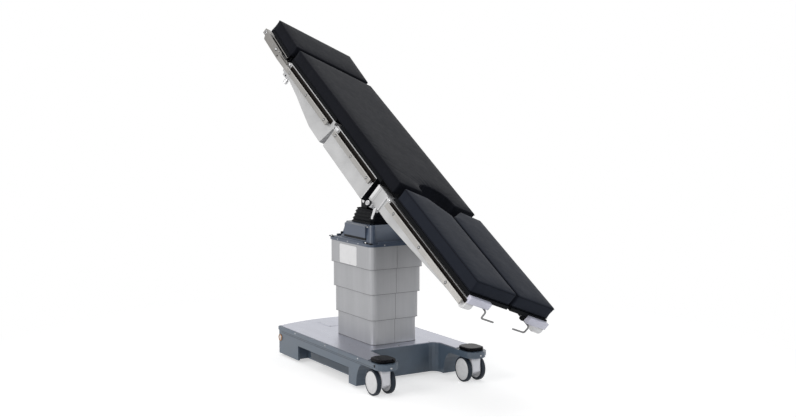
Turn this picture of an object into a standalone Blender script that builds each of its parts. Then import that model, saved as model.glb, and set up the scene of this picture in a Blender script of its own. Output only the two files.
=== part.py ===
"""Mobile operating table, photographed head up and tilted to its far side.

World frame: origin on the floor under the table's middle, +X to the foot end, +Y to the far side,
+Z up. The column's axis stands at COLUMN_X, COLUMN_Y, and all other sizes are given from that axis.
The table top has a frame of its own at the crossing of its two tilt axes: u runs along the top to
the foot end, v to the far side and w out of the mattress. Heights of the top are written as depths
below the mattress surface, so a piece at depth d lies at w = PAD_TOP - d.
"""
import math

import bmesh
import bpy
from mathutils import Matrix, Vector

# General clearances
SEAT_GAP = 0.0003
RUNNING_GAP = 0.0005
PIN_GAP = 0.0004

# Place of the column's axis, so the whole table is centred over the origin
COLUMN_X = -0.032
COLUMN_Y = -0.027

# Base
BASE_HALF_WIDTH = 0.290
BASE_HEAD_X = -0.488
BASE_HEAD_BOW = 0.060
BASE_FOOT_X = 0.540
BASE_CORNER_RADIUS = 0.030
BASE_BOTTOM = 0.013
BASE_DECK = 0.150
BASE_ROOF = 0.012
BASE_WALL = 0.010
BASE_LIP_HEIGHT = 0.019
BASE_LIP = 0.003
ARM_WIDTH = 0.110
ARM_UNDERSIDE = 0.121
ARM_END_RADIUS = 0.050
NOTCH_X = 0.252
NOTCH_RADIUS = 0.040
FOOT_BLOCK_X = 0.245
ARCH_START_X = 0.314
ARCH_END_X = 0.372
HEAD_BLOCK_X = -0.271
RECESS_TOP = 0.0855
PANEL_START_X = -0.140
PANEL_BOTTOM = 0.046
PANEL_DEPTH = 0.005
DECK_PLATE = 0.002
DECK_INSET = 0.007
DECK_ARM_X = 0.410
BUMPER_LENGTH = 0.108
BUMPER_WIDTH = 0.094
BUMPER_HEIGHT = 0.016
BUMPER_RADIUS = 0.034

# Casters
WHEEL_RADIUS = 0.0588
WHEEL_WIDTH = 0.021
WHEEL_OFFSET = 0.0365
WHEEL_DISC_INSET = 0.0025
TYRE_DEPTH = 0.009
AXLE_RADIUS = 0.006
CASTER_TRAIL = 0.030
CASTER_BODY_WIDTH = 0.046
CASTER_NOSE = 0.0205
CASTER_HUB_RADIUS = 0.032
SWIVEL_DISC_RADIUS = 0.021
SWIVEL_DISC_HEIGHT = 0.005
SWIVEL_STEM_RADIUS = 0.007
SWIVEL_STEM_HEIGHT = 0.014
FOOT_CASTER_X = 0.480
FOOT_CASTER_Y = 0.2405
HEAD_CASTER_X = -0.395
HEAD_CASTER_Y = 0.170
CASTER_BOSS_RADIUS = 0.030

# Column covers, counted from the bottom
STAGE_COUNT = 4
STAGE_LENGTH_X = 0.3564
STAGE_LENGTH_Y = 0.2460
STAGE_STEP = 0.0077
STAGE_WALL = 0.002
STAGE_RADIUS = 0.028
STAGE_EDGES = (0.2688, 0.3916, 0.5100)
STAGE_OVERLAP = 0.020
COLLAR_HEIGHT = 0.006
COLUMN_TOP = 0.6170
LIFT_TRAVEL = 0.250

# Lift guide and ram
GUIDE_X = 0.150
GUIDE_Y = 0.140
GUIDE_WALL = 0.012
GUIDE_BOTTOM = 0.022
GUIDE_TOP = 0.350
GUIDE_FLANGE = 0.030
GUIDE_FLANGE_HEIGHT = 0.010
GUIDE_RADIUS = 0.014
RAM_WALL = 0.010
RAM_BOTTOM = 0.300

# Hood, gaiter and yoke
FLANGE_OVERHANG = 0.005
FLANGE_HEIGHT = 0.013
HOOD_BOTTOM_LOW = (-0.118, -0.139)
HOOD_BOTTOM_HIGH = (0.190, 0.139)
HOOD_TOP_LOW = (-0.082, -0.126)
HOOD_TOP_HIGH = (0.170, 0.126)
HOOD_TOP = 0.715
HOOD_WALL = 0.005
HOOD_RADIUS = 0.022
HOOD_OPENING = (-0.058, -0.085, 0.085, 0.085)
HOOD_PANEL = (-0.058, 0.140)
HOOD_PANEL_LOW = 0.653
HOOD_PANEL_HIGH = 0.7075
HOOD_PANEL_OUT = 0.1395
HOOD_PANEL_SLOPE = 0.006
HOOD_RECESS_DEPTH = 0.003
HOOD_RECESS_LOW = (0.1135, 0.637)
HOOD_RECESS_HIGH = (0.1045, 0.707)
GAITER_LOW = (-0.0675, -0.1085)
GAITER_HIGH = (0.158, 0.1085)
GAITER_TOP = 0.780
GAITER_TAPER = (0.010, 0.024)
GAITER_FOLDS = 4
GAITER_FOLD_DEPTH = 0.005
GAITER_WALL = 0.0025
PIVOT_HEIGHT = 0.8156
HEAD_PLATE_X = 0.110
HEAD_PLATE_Y = 0.092
HEAD_PLATE_THICK = 0.012
YOKE_INNER = 0.0500
YOKE_THICK = 0.016
YOKE_HALF_WIDTH = 0.028
YOKE_RADIUS = 0.026
TRUNNION_RADIUS = 0.011
CROSS_HALF_U = 0.0400
CROSS_HALF_HEIGHT = 0.020
HANGER_THICK = 0.015
HANGER_HALF_WIDTH = 0.028
HANGER_RADIUS = 0.024

# Posture in the photograph
TREND_ANGLE = 31.8
TILT_ANGLE = -23.6
HEAD_ANGLE = 2.9
LEG_ANGLE = 0.9

# Table top
PAD_TOP = 0.2538
PAD_HALF_WIDTH = 0.2614
PAD_THICK = 0.060
PAD_EDGE = 0.006
PLATE_THICK = 0.016
PLATE_EDGE = 0.003
COVER_TOP_DEPTH = 0.0850
COVER_THICK = 0.0450
COVER_EDGE = 0.004
BEAM_THICK = 0.020
BEAM_DEPTH = 0.130
RAIL_HEIGHT = 0.025
RAIL_THICK = 0.010
RAIL_DEPTH = 0.097
RAIL_STANDOFF = 0.010
RAIL_STUD_RADIUS = 0.008

# Seat section
SEAT_HEAD_U = -0.2475
SEAT_FOOT_U = 0.1870
SEAT_PAD_FOOT_U = 0.3200
SEAT_PLATE_FOOT_U = 0.3140
SEAT_COVER_DEPTH = 0.2025
CUTOUT_HALF_WIDTH = 0.112
CUTOUT_DEPTH = 0.096
SEAT_RAIL = (-0.220, 0.180)
SEAT_STUD_SHARES = (0.075, 0.5, 0.925)
FRAME_BEAM_U = 0.150
HANGER_TOP_HALF_WIDTH = 0.150

# Back section
BACK_HINGE = (-0.2505, 0.0960)
BACK_KNUCKLE = 0.0105
BACK_PIN_RADIUS = 0.0055
BACK_HEAD_U = -0.829
BACK_PAD_HEAD_U = -0.831
BACK_RAIL = (-0.800, -0.300)
BACK_STUD_SHARES = (0.06, 0.5, 0.94)
BACK_LOWER_EDGE = ((-0.2820, 0.2050), (-0.4120, 0.2020), (-0.5315, 0.1810), (-0.6400, 0.1600), (-0.7200, 0.1490))
BACK_STUB_DEPTH = 0.1400
BACK_STUB_U = -0.8450
FOLD_HALF = 0.068
PLATE_FOLD_GAP = 0.0260

# Head section
HEAD_HINGE = (-0.8500, 0.1040)
HEAD_KNUCKLE = 0.0170
HEAD_PIN_RADIUS = 0.006
HEAD_PAD_FOOT_U = -0.869
HEAD_PAD_HEAD_U = -1.129
HEAD_BAR_DEPTH = 0.130
HEAD_BAR_ARCH = 0.080
HEAD_BAR_NECK = 0.055
HEAD_BAR_END_U = -1.165
HEAD_BAR_OUT = 0.010
HEAD_BAR_THICK = 0.0320
HEAD_RIB_THICK = 0.018
KNOB_U = -0.800
KNOB_RADIUS = 0.009
KNOB_HEIGHT = 0.030

# Leg sections
BLOCK_SETBACK = 0.0373
BLOCK_LENGTH = 0.0922
BLOCK_GAP = 0.0010
BLOCK_HEAD_U = SEAT_FOOT_U + BLOCK_SETBACK
BLOCK_FOOT_U = BLOCK_HEAD_U + BLOCK_LENGTH
LEG_COVER_HEAD_U = BLOCK_FOOT_U + BLOCK_GAP
LEG_HINGE = (BLOCK_FOOT_U - 0.0585, 0.1740)
LEG_LUG_RADIUS = 0.016
LEG_PIN_RADIUS = 0.008
LEG_NUT_RADIUS = 0.0125
LEG_NUT_LENGTH = 0.014
LEG_PIN_END = 0.026
EAR_THICK = 0.020
EAR_WIDTH = 0.016
BLOCK_DEPTH = 0.1660
SWIVEL_U = LEG_COVER_HEAD_U - BLOCK_GAP / 2
SWIVEL_BARREL = 0.006
SWIVEL_PIN = 0.003
SWIVEL_BARREL_DEPTHS = (0.0862, 0.1000, 0.1500, 0.1640)
LEG_COVER_FOOT_U = 1.0200
LEG_LOWER_EDGE = ((0.390, 0.168), (0.587, 0.155), (0.815, 0.138), (0.985, 0.126))
LEG_END_RADIUS = 0.018
LEG_PLATE_HEAD_U = 0.355
LEG_PLATE_FOOT_U = 1.020
LEG_PAD_HEAD_U = 0.371
LEG_PAD_FOOT_U = 1.012
LEG_SPLIT_HALF = 0.0095
LEG_CHAMFER_V = 0.1160
LEG_CHAMFER_U = 0.0850
LEG_RAIL = (0.352, 1.020)
LEG_STUD_SHARES = (0.112, 0.469, 0.819)
LEG_BRACKET_U = 0.0180
LEG_BRACKET_LENGTH = 0.130
LEG_BRACKET_TOP = 0.0670
LEG_BRACKET_BOTTOM = 0.0890
SPRING_V = 0.174
SPRING_DEPTH = 0.102
SPRING_HEAD_U = 0.372
SPRING_BODY_U = 0.700
SPRING_FOOT_U = LEG_PLATE_FOOT_U - 0.090
SPRING_RADIUS = 0.010
SPRING_ROD_RADIUS = 0.0045
SPRING_LUG = 0.012
HANDLE_V = 0.146
HANDLE_DEPTH = 0.102
HANDLE_START_U = 0.780
HANDLE_END_U = 1.050
HANDLE_RADIUS = 0.0040
HANDLE_DROP = 0.034
HANDLE_BAR = 0.080
GUIDE_BLOCK = 0.016
LEVER_PIVOT = (BLOCK_FOOT_U - 0.0135, 0.1745)
LEVER_LENGTH = 0.044
LEVER_WIDTH = 0.012
LEVER_THICK = 0.006
LEVER_HANG = 28.0

NEAR = -1
FAR = 1
SIDE_NAMES = {NEAR: "near", FAR: "far"}

# Frames for extruding: each maps an outline's x, y and its extrusion z to the model's axes
PLAN = Matrix.Identity(4)
SIDE = Matrix(((1, 0, 0, 0), (0, 0, -1, 0), (0, 1, 0, 0), (0, 0, 0, 1)))
CROSS = Matrix(((0, 0, 1, 0), (1, 0, 0, 0), (0, 1, 0, 0), (0, 0, 0, 1)))


def clear_scene():
    """Remove every object, so the model starts from an empty scene."""
    for item in list(bpy.data.objects):
        bpy.data.objects.remove(item, do_unlink=True)


def new_collection(name):
    """Make a collection in the scene and return it."""
    collection = bpy.data.collections.new(name)
    bpy.context.scene.collection.children.link(collection)
    return collection


clear_scene()
PARTS = new_collection("operating_table")
CUTTERS = new_collection("cutters")


def material(name, color, roughness, metallic):
    """Make a Principled material of one plain finish."""
    item = bpy.data.materials.new(name)
    item.use_nodes = True
    shader = item.node_tree.nodes["Principled BSDF"]
    shader.inputs["Base Color"].default_value = (*color, 1.0)
    shader.inputs["Roughness"].default_value = roughness
    shader.inputs["Metallic"].default_value = metallic
    return item


SLATE = material("slate_paint", (0.115, 0.145, 0.175), 0.45, 0.0)
STEEL = material("brushed_steel", (0.60, 0.60, 0.61), 0.35, 1.0)
RAIL_STEEL = material("rail_steel", (0.55, 0.53, 0.50), 0.35, 1.0)
SILVER = material("silver_paint", (0.68, 0.68, 0.70), 0.40, 0.2)
BLACK_STEEL = material("black_steel", (0.02, 0.02, 0.025), 0.40, 0.3)
VINYL = material("black_vinyl", (0.03, 0.032, 0.037), 0.45, 0.0)
RUBBER = material("black_rubber", (0.02, 0.02, 0.022), 0.70, 0.0)
WHITE = material("white_plastic", (0.80, 0.80, 0.80), 0.35, 0.0)
CHROME = material("chrome", (0.75, 0.75, 0.76), 0.15, 1.0)


def add_object(name, mesh, finish=None, parent=None, offset=Vector((0, 0, 0)), collection=None):
    """Link a mesh as an object under a joint's empty, with its coordinates kept in the frame above."""
    item = bpy.data.objects.new(name, mesh)
    (collection or PARTS).objects.link(item)
    item.parent = parent
    item.location = -offset
    if finish:
        mesh.materials.append(finish)
    return item


def empty(name, parent, location, rotation=(0.0, 0.0, 0.0)):
    """An empty on a joint's axis, which carries the pieces that move on it."""
    item = bpy.data.objects.new(name, None)
    PARTS.objects.link(item)
    item.empty_display_size = 0.05
    item.parent = parent
    item.location = location
    item.rotation_euler = rotation
    return item


def mesh_from(bm, name):
    """Turn a bmesh into a mesh with outward normals and soft shading over shallow edges."""
    bmesh.ops.recalc_face_normals(bm, faces=bm.faces)
    mesh = bpy.data.meshes.new(name)
    bm.to_mesh(mesh)
    bm.free()
    mesh.shade_smooth()
    mesh.set_sharp_from_angle(angle=math.radians(35))
    return mesh


def rounded(corners, steps=4):
    """An outline whose corners (x, y, radius) are filleted with arcs."""
    points = []
    count = len(corners)
    for index, (x, y, radius) in enumerate(corners):
        here = Vector((x, y))
        if radius <= 0:
            points.append((x, y))
            continue
        before = (Vector(corners[index - 1][:2]) - here).normalized()
        after = (Vector(corners[(index + 1) % count][:2]) - here).normalized()
        half = before.angle(after) / 2
        middle = here + (before + after).normalized() * (radius / math.sin(half))
        start = here + before * (radius / math.tan(half)) - middle
        sweep = start.angle_signed(here + after * (radius / math.tan(half)) - middle)
        for step in range(steps + 1):
            turn = -sweep * step / steps
            point = middle + Matrix.Rotation(turn, 2) @ start
            points.append((point.x, point.y))
    return points


def rectangle(low, high, radius=0.0, steps=4):
    """A rectangle's outline with rounded corners."""
    corners = [(low[0], low[1]), (high[0], low[1]), (high[0], high[1]), (low[0], high[1])]
    return rounded([(x, y, radius) for x, y in corners], steps)


def arc(middle, radius, start, end, steps):
    """Points of an arc from one angle in degrees to another."""
    angles = [math.radians(start + (end - start) * step / steps) for step in range(steps + 1)]
    return [(middle[0] + radius * math.cos(a), middle[1] + radius * math.sin(a)) for a in angles]


def extruded(name, outline, low, high, frame=PLAN):
    """A mesh made from a flat outline as a filled 2D curve, extruded from low to high."""
    curve = bpy.data.curves.new(name, "CURVE")
    curve.dimensions = "2D"
    curve.fill_mode = "BOTH"
    curve.extrude = (high - low) / 2
    spline = curve.splines.new("POLY")
    spline.points.add(len(outline) - 1)
    for point, (x, y) in zip(spline.points, outline):
        point.co = (x, y, 0, 1)
    spline.use_cyclic_u = True
    guide = bpy.data.objects.new(name, curve)
    CUTTERS.objects.link(guide)
    evaluated = guide.evaluated_get(bpy.context.evaluated_depsgraph_get())
    flat = bpy.data.meshes.new_from_object(evaluated)
    bm = bmesh.new()
    bm.from_mesh(flat)
    bmesh.ops.remove_doubles(bm, verts=bm.verts, dist=0.00001)
    bmesh.ops.dissolve_limit(bm, angle_limit=0.002, verts=bm.verts, edges=bm.edges)
    bmesh.ops.transform(bm, matrix=frame @ Matrix.Translation((0, 0, (low + high) / 2)), verts=bm.verts)
    bpy.data.objects.remove(guide, do_unlink=True)
    bpy.data.meshes.remove(flat)
    bpy.data.curves.remove(curve)
    return mesh_from(bm, name)


def box_mesh(name, low, high):
    """A box from a cube primitive, between two corners."""
    size = Vector(high) - Vector(low)
    middle = (Vector(high) + Vector(low)) / 2
    bm = bmesh.new()
    bmesh.ops.create_cube(bm, size=1.0, matrix=Matrix.Translation(middle) @ Matrix.Diagonal((*size, 1)))
    return mesh_from(bm, name)


def rod_mesh(name, start, end, radius, sides=16, end_radius=None):
    """A round bar between two points, from a cone primitive."""
    run = Vector(end) - Vector(start)
    turn = run.to_track_quat("Z", "Y").to_matrix().to_4x4()
    bm = bmesh.new()
    bmesh.ops.create_cone(
        bm, cap_ends=True, segments=sides, radius1=radius,
        radius2=radius if end_radius is None else end_radius, depth=run.length,
        matrix=Matrix.Translation((Vector(start) + Vector(end)) / 2) @ turn)
    return mesh_from(bm, name)


def bevel(item, width, segments=2):
    """Round an object's edges with a Bevel modifier."""
    modifier = item.modifiers.new("bevel", "BEVEL")
    modifier.width = width
    modifier.segments = segments
    modifier.limit_method = "ANGLE"
    modifier.angle_limit = math.radians(35)


def boolean(item, meshes, operation):
    """Cut or join meshes given in the object's own coordinates."""
    for mesh in meshes:
        tool = bpy.data.objects.new(item.name + "_" + operation.lower(), mesh)
        CUTTERS.objects.link(tool)
        tool.parent = item.parent
        tool.location = item.location
        tool.hide_render = True
        tool.display_type = "WIRE"
        modifier = item.modifiers.new(operation.lower(), "BOOLEAN")
        modifier.operation = operation
        modifier.solver = "EXACT"
        modifier.object = tool


def cut(item, *meshes):
    """Remove meshes from an object."""
    boolean(item, meshes, "DIFFERENCE")


def join(item, *meshes):
    """Add meshes to an object as one body."""
    boolean(item, meshes, "UNION")


def span(side, inner, outer):
    """The low and high v of a piece that lies between two distances from the middle."""
    return (inner, outer) if side == FAR else (-outer, -inner)


def height(depth):
    """The w of a depth below the mattress surface."""
    return PAD_TOP - depth


def uw(points):
    """Side outline points from (u, depth) pairs."""
    return [(u, height(depth)) for u, depth in points]


# Joint axes of the table top, as empties that carry the sections
lift_axis = empty("lift_axis", None, (0, 0, 0))
trend_axis = empty("trend_axis", lift_axis, (0, 0, PIVOT_HEIGHT), (0, math.radians(TREND_ANGLE), 0))
tilt_axis = empty("tilt_axis", trend_axis, (0, 0, 0), (math.radians(TILT_ANGLE), 0, 0))
BACK_ORIGIN = Vector((BACK_HINGE[0], 0, height(BACK_HINGE[1])))
HEAD_ORIGIN = Vector((HEAD_HINGE[0], 0, height(HEAD_HINGE[1])))
LEG_ORIGIN = Vector((LEG_HINGE[0], 0, height(LEG_HINGE[1])))
back_axis = empty("back_axis", tilt_axis, BACK_ORIGIN)
head_axis = empty("head_axis", back_axis, HEAD_ORIGIN - BACK_ORIGIN, (0, math.radians(HEAD_ANGLE), 0))


def head_bow(side_y, inset, steps=8):
    """Points of the base's bowed head end between its two sides, from far to near."""
    bow = []
    for step in range(1, steps):
        y = side_y - 2 * side_y * step / steps
        bow.append((BASE_HEAD_X + inset - BASE_HEAD_BOW * (1 - (y / side_y) ** 2), y))
    return bow


def base_outline(inset):
    """The base's plan: a bowed head end, straight sides and two arms round the foot notch."""
    side_y = BASE_HALF_WIDTH - inset
    arm_y = BASE_HALF_WIDTH - ARM_WIDTH + inset
    end_x = BASE_FOOT_X - inset
    notch_x = NOTCH_X - inset
    end_radius = ARM_END_RADIUS - inset
    outline = rounded([
        (BASE_HEAD_X + inset, -side_y, 0),
        (end_x, -side_y, end_radius), (end_x, -arm_y, end_radius),
        (notch_x, -arm_y, NOTCH_RADIUS), (notch_x, arm_y, NOTCH_RADIUS),
        (end_x, arm_y, end_radius), (end_x, side_y, end_radius),
        (BASE_HEAD_X + inset, side_y, 0)])
    return outline + head_bow(side_y, inset)


def make_base_shell():
    """The painted base cover: an open-bottomed shell with a lip, side recesses and wheel arches."""
    lip_bottom = BASE_DECK - BASE_LIP_HEIGHT
    shell = add_object(
        "base_shell", extruded("base_skirt", base_outline(BASE_LIP), BASE_BOTTOM, lip_bottom + BASE_LIP), SLATE)
    join(shell, extruded("base_lip", base_outline(0), lip_bottom, BASE_DECK))
    below = BASE_BOTTOM - 0.01
    roof = BASE_DECK - BASE_ROOF
    inner_y = BASE_HALF_WIDTH - BASE_LIP - BASE_WALL
    hollow = rounded([
        (BASE_HEAD_X + BASE_WALL, -inner_y, 0), (NOTCH_X - BASE_WALL - BASE_LIP, -inner_y, 0.02),
        (NOTCH_X - BASE_WALL - BASE_LIP, inner_y, 0.02), (BASE_HEAD_X + BASE_WALL, inner_y, 0)], 3)
    hollow += head_bow(inner_y, BASE_WALL)
    cut(shell, extruded("base_hollow", hollow, below, roof))
    arch = [(ARCH_START_X, below), (BASE_FOOT_X + 0.02, below), (BASE_FOOT_X + 0.02, ARM_UNDERSIDE)]
    rise = ARM_UNDERSIDE - BASE_BOTTOM
    run = ARCH_END_X - ARCH_START_X
    for step in range(7):
        turn = math.radians(90 * step / 6)
        arch.append((ARCH_END_X - run * math.sin(turn), BASE_BOTTOM + rise * math.cos(turn)))
    wide = BASE_HALF_WIDTH + 0.01
    cut(shell, extruded("wheel_arch", arch, -wide, wide, SIDE))
    cut(shell, box_mesh("side_opening", (HEAD_BLOCK_X, -wide, below), (PANEL_START_X, wide, RECESS_TOP)),
        box_mesh("panel_opening", (PANEL_START_X - 0.001, -wide, below), (FOOT_BLOCK_X, wide, PANEL_BOTTOM)))
    panel_y = BASE_HALF_WIDTH - BASE_LIP - PANEL_DEPTH
    for side in (NEAR, FAR):
        low, high = span(side, panel_y, wide)
        cut(shell, box_mesh("panel_recess", (PANEL_START_X - 0.001, low, PANEL_BOTTOM - 0.001),
                            (FOOT_BLOCK_X, high, RECESS_TOP)))
        boss = (HEAD_CASTER_X, side * HEAD_CASTER_Y)
        join(shell, rod_mesh("caster_boss", (*boss, ARM_UNDERSIDE), (*boss, roof + 0.002), CASTER_BOSS_RADIUS, 24))
    for x, y in caster_places():
        cut(shell, rod_mesh("stem_bore", (x, y, ARM_UNDERSIDE - 0.001),
                            (x, y, ARM_UNDERSIDE + SWIVEL_STEM_HEIGHT + RUNNING_GAP),
                            SWIVEL_STEM_RADIUS + PIN_GAP, 16))
    half_x = GUIDE_X / 2 + SEAT_GAP
    half_y = GUIDE_Y / 2 + SEAT_GAP
    cut(shell, extruded("guide_hole", rectangle((-half_x, -half_y), (half_x, half_y), GUIDE_RADIUS, 3),
                        roof - 0.01, BASE_DECK + 0.01))


def caster_places():
    """The four swivel axes, head pair first."""
    return [(HEAD_CASTER_X, NEAR * HEAD_CASTER_Y), (HEAD_CASTER_X, FAR * HEAD_CASTER_Y),
            (FOOT_CASTER_X, NEAR * FOOT_CASTER_Y), (FOOT_CASTER_X, FAR * FOOT_CASTER_Y)]


def make_deck():
    """The steel deck plate with its column opening, and the rubber pads on the arm ends."""
    inset = DECK_INSET
    side_y = BASE_HALF_WIDTH - inset
    arm_y = BASE_HALF_WIDTH - ARM_WIDTH + inset
    outline = rounded([
        (BASE_HEAD_X + inset, -side_y, 0), (DECK_ARM_X, -side_y, 0.004), (DECK_ARM_X, -arm_y, 0.004),
        (NOTCH_X - inset, -arm_y, NOTCH_RADIUS), (NOTCH_X - inset, arm_y, NOTCH_RADIUS),
        (DECK_ARM_X, arm_y, 0.004), (DECK_ARM_X, side_y, 0.004), (BASE_HEAD_X + inset, side_y, 0)], 4)
    outline += head_bow(side_y, inset)
    low = BASE_DECK + SEAT_GAP
    plate = add_object("base_deck_plate", extruded("base_deck_plate", outline, low, low + DECK_PLATE), STEEL)
    half_x = GUIDE_X / 2 + GUIDE_FLANGE + SEAT_GAP
    half_y = GUIDE_Y / 2 + GUIDE_FLANGE + SEAT_GAP
    cut(plate, box_mesh("column_opening", (-half_x, -half_y, BASE_DECK), (half_x, half_y, BASE_DECK + 0.01)))
    start = DECK_ARM_X + RUNNING_GAP
    for side in (NEAR, FAR):
        middle = side * (BASE_HALF_WIDTH - ARM_WIDTH / 2)
        corners = rectangle((start, middle - BUMPER_WIDTH / 2),
                            (start + BUMPER_LENGTH, middle + BUMPER_WIDTH / 2), BUMPER_RADIUS)
        name = "arm_bumper_" + SIDE_NAMES[side]
        pad = add_object(name, extruded(name, corners, low, low + BUMPER_HEIGHT), RUBBER)
        bevel(pad, 0.005)


def make_caster(name, x, y):
    """A swivelling twin-wheel caster: its body with swivel stem and axle, and two wheels."""
    swivel = empty(name + "_swivel", None, (x, y, 0))
    offset = Vector((x, y, 0))
    wheel_x = x - CASTER_TRAIL
    disc_top = ARM_UNDERSIDE - SEAT_GAP
    body_top = disc_top - SWIVEL_DISC_HEIGHT
    nose = x + CASTER_NOSE
    outline = arc((wheel_x, WHEEL_RADIUS), CASTER_HUB_RADIUS, 150, 300, 7)
    outline += [(nose, WHEEL_RADIUS - 0.008), (nose, body_top - 0.006), (nose - 0.006, body_top)]
    outline += [(x - CASTER_NOSE, body_top)]
    half = CASTER_BODY_WIDTH / 2
    body = add_object(name, extruded(name, outline, -y - half, -y + half, SIDE), WHITE, swivel, offset)
    bevel(body, 0.003, 1)
    axle_out = WHEEL_OFFSET + WHEEL_WIDTH / 2 - WHEEL_DISC_INSET
    join(body,
         rod_mesh("swivel_disc", (x, y, body_top - 0.002), (x, y, disc_top), SWIVEL_DISC_RADIUS, 20),
         rod_mesh("swivel_stem", (x, y, disc_top - 0.001), (x, y, disc_top + SWIVEL_STEM_HEIGHT),
                  SWIVEL_STEM_RADIUS, 12),
         rod_mesh("caster_axle", (wheel_x, y - axle_out, WHEEL_RADIUS), (wheel_x, y + axle_out, WHEEL_RADIUS),
                  AXLE_RADIUS, 12))
    axle = empty(name + "_axle", swivel, (-CASTER_TRAIL, 0, WHEEL_RADIUS))
    for side in (NEAR, FAR):
        make_wheel(name + "_wheel_" + SIDE_NAMES[side], axle, side)


def make_wheel(name, axle, side):
    """A wheel turned from its profile: a rounded tyre on a dished disc with a bored hub."""
    half = WHEEL_WIDTH / 2
    face = half - WHEEL_DISC_INSET
    rim = WHEEL_RADIUS - TYRE_DEPTH
    bore = AXLE_RADIUS + PIN_GAP
    profile = [(bore, face), (rim, face), (rim + 0.001, half), (WHEEL_RADIUS - 0.005, half),
               (WHEEL_RADIUS, half - 0.006), (WHEEL_RADIUS, -half + 0.006), (WHEEL_RADIUS - 0.005, -half),
               (rim, -half), (bore, -half)]
    bm = bmesh.new()
    points = [bm.verts.new((radius, 0, z)) for radius, z in profile]
    for first, second in zip(points, points[1:] + points[:1]):
        bm.edges.new((first, second))
    mesh = bpy.data.meshes.new(name)
    bm.to_mesh(mesh)
    bm.free()
    wheel = add_object(name, mesh, RUBBER, axle)
    wheel.location = (0, side * WHEEL_OFFSET, 0)
    wheel.rotation_euler = (math.radians(-90 * side), 0, 0)
    screw = wheel.modifiers.new("turned", "SCREW")
    screw.axis = "Z"
    screw.steps = 16
    screw.render_steps = 16
    screw.use_merge_vertices = True
    screw.merge_threshold = 0.00001
    screw.use_normal_calculate = True


def stage_outline(index, inset=0.0):
    """The plan of a column cover, counted from the bottom, moved in by an inset."""
    half_x = STAGE_LENGTH_X / 2 + STAGE_STEP * index - inset
    half_y = STAGE_LENGTH_Y / 2 + STAGE_STEP * index - inset
    return rectangle((-half_x, -half_y), (half_x, half_y), STAGE_RADIUS - inset)


def make_column_covers():
    """Four telescoping steel covers; each but the top one has a glide collar inside the next."""
    bottoms = (BASE_DECK + DECK_PLATE + 2 * SEAT_GAP, *STAGE_EDGES)
    for index in range(STAGE_COUNT):
        name = "column_cover_" + str(index + 1)
        top_stage = index == STAGE_COUNT - 1
        top = COLUMN_TOP if top_stage else bottoms[index + 1] + STAGE_OVERLAP
        cover = add_object(name, extruded(name, stage_outline(index), bottoms[index], top), STEEL, lift_axis)
        if not top_stage:
            collar = stage_outline(index + 1, STAGE_WALL + PIN_GAP)
            join(cover, extruded("glide_collar", collar, top - COLLAR_HEIGHT, top))
        cut(cover, extruded("cover_inside", stage_outline(index, STAGE_WALL), bottoms[index] - 0.01, top + 0.01))


def make_lift():
    """The fixed guide tube in the base, and the ram with its head plate and yoke."""
    half_x = GUIDE_X / 2
    half_y = GUIDE_Y / 2
    tube = extruded("lift_guide", rectangle((-half_x, -half_y), (half_x, half_y), GUIDE_RADIUS, 3),
                    GUIDE_BOTTOM, GUIDE_TOP)
    guide = add_object("lift_guide", tube, BLACK_STEEL)
    flange_low = (-half_x - GUIDE_FLANGE, -half_y - GUIDE_FLANGE, BASE_DECK + SEAT_GAP)
    flange_high = (half_x + GUIDE_FLANGE, half_y + GUIDE_FLANGE, BASE_DECK + SEAT_GAP + GUIDE_FLANGE_HEIGHT)
    join(guide, box_mesh("guide_flange", flange_low, flange_high))
    inner_x = half_x - GUIDE_WALL
    inner_y = half_y - GUIDE_WALL
    cut(guide, box_mesh("guide_inside", (-inner_x, -inner_y, GUIDE_BOTTOM - 0.01),
                        (inner_x, inner_y, GUIDE_TOP + 0.01)))
    ram_x = inner_x - RUNNING_GAP
    ram_y = inner_y - RUNNING_GAP
    plate_top = HOOD_TOP - HOOD_WALL - SEAT_GAP
    plate_low = plate_top - HEAD_PLATE_THICK
    head = add_object(
        "column_head", box_mesh("column_head", (-ram_x, -ram_y, RAM_BOTTOM), (ram_x, ram_y, plate_low + 0.001)),
        BLACK_STEEL, lift_axis)
    cut(head, box_mesh("ram_inside", (-ram_x + RAM_WALL, -ram_y + RAM_WALL, RAM_BOTTOM - 0.01),
                       (ram_x - RAM_WALL, ram_y - RAM_WALL, plate_low - 0.01)))
    join(head, box_mesh("head_plate", (-ram_x - 0.008, -HEAD_PLATE_Y, plate_low),
                        (HEAD_PLATE_X, HEAD_PLATE_Y, plate_top)))
    for side in (NEAR, FAR):
        low, high = span(side, YOKE_INNER, YOKE_INNER + YOKE_THICK)
        ear = [(-YOKE_HALF_WIDTH, plate_top - 0.002), (YOKE_HALF_WIDTH, plate_top - 0.002)]
        ear += arc((0, PIVOT_HEIGHT), YOKE_RADIUS, 0, 180, 10)
        join(head, extruded("yoke_ear", ear, -high, -low, SIDE))
        cut(head, rod_mesh("yoke_bore", (0, low - 0.01, PIVOT_HEIGHT), (0, high + 0.01, PIVOT_HEIGHT),
                           TRUNNION_RADIUS + PIN_GAP, 16))


def tapered_box(name, low, high, top_low, top_high, bottom, top, radius):
    """A box whose top is smaller than its foot, with rounded upright edges."""
    rings = [(rectangle(low, high, radius, 4), bottom), (rectangle(top_low, top_high, radius, 4), top)]
    bm = bmesh.new()
    loops = []
    for outline, z in rings:
        points = [bm.verts.new((x, y, z)) for x, y in outline]
        loops.append([bm.edges.new(pair) for pair in zip(points, points[1:] + points[:1])])
    bmesh.ops.bridge_loops(bm, edges=loops[0] + loops[1])
    for loop in loops:
        bmesh.ops.contextual_create(bm, geom=loop)
    return mesh_from(bm, name)


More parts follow.
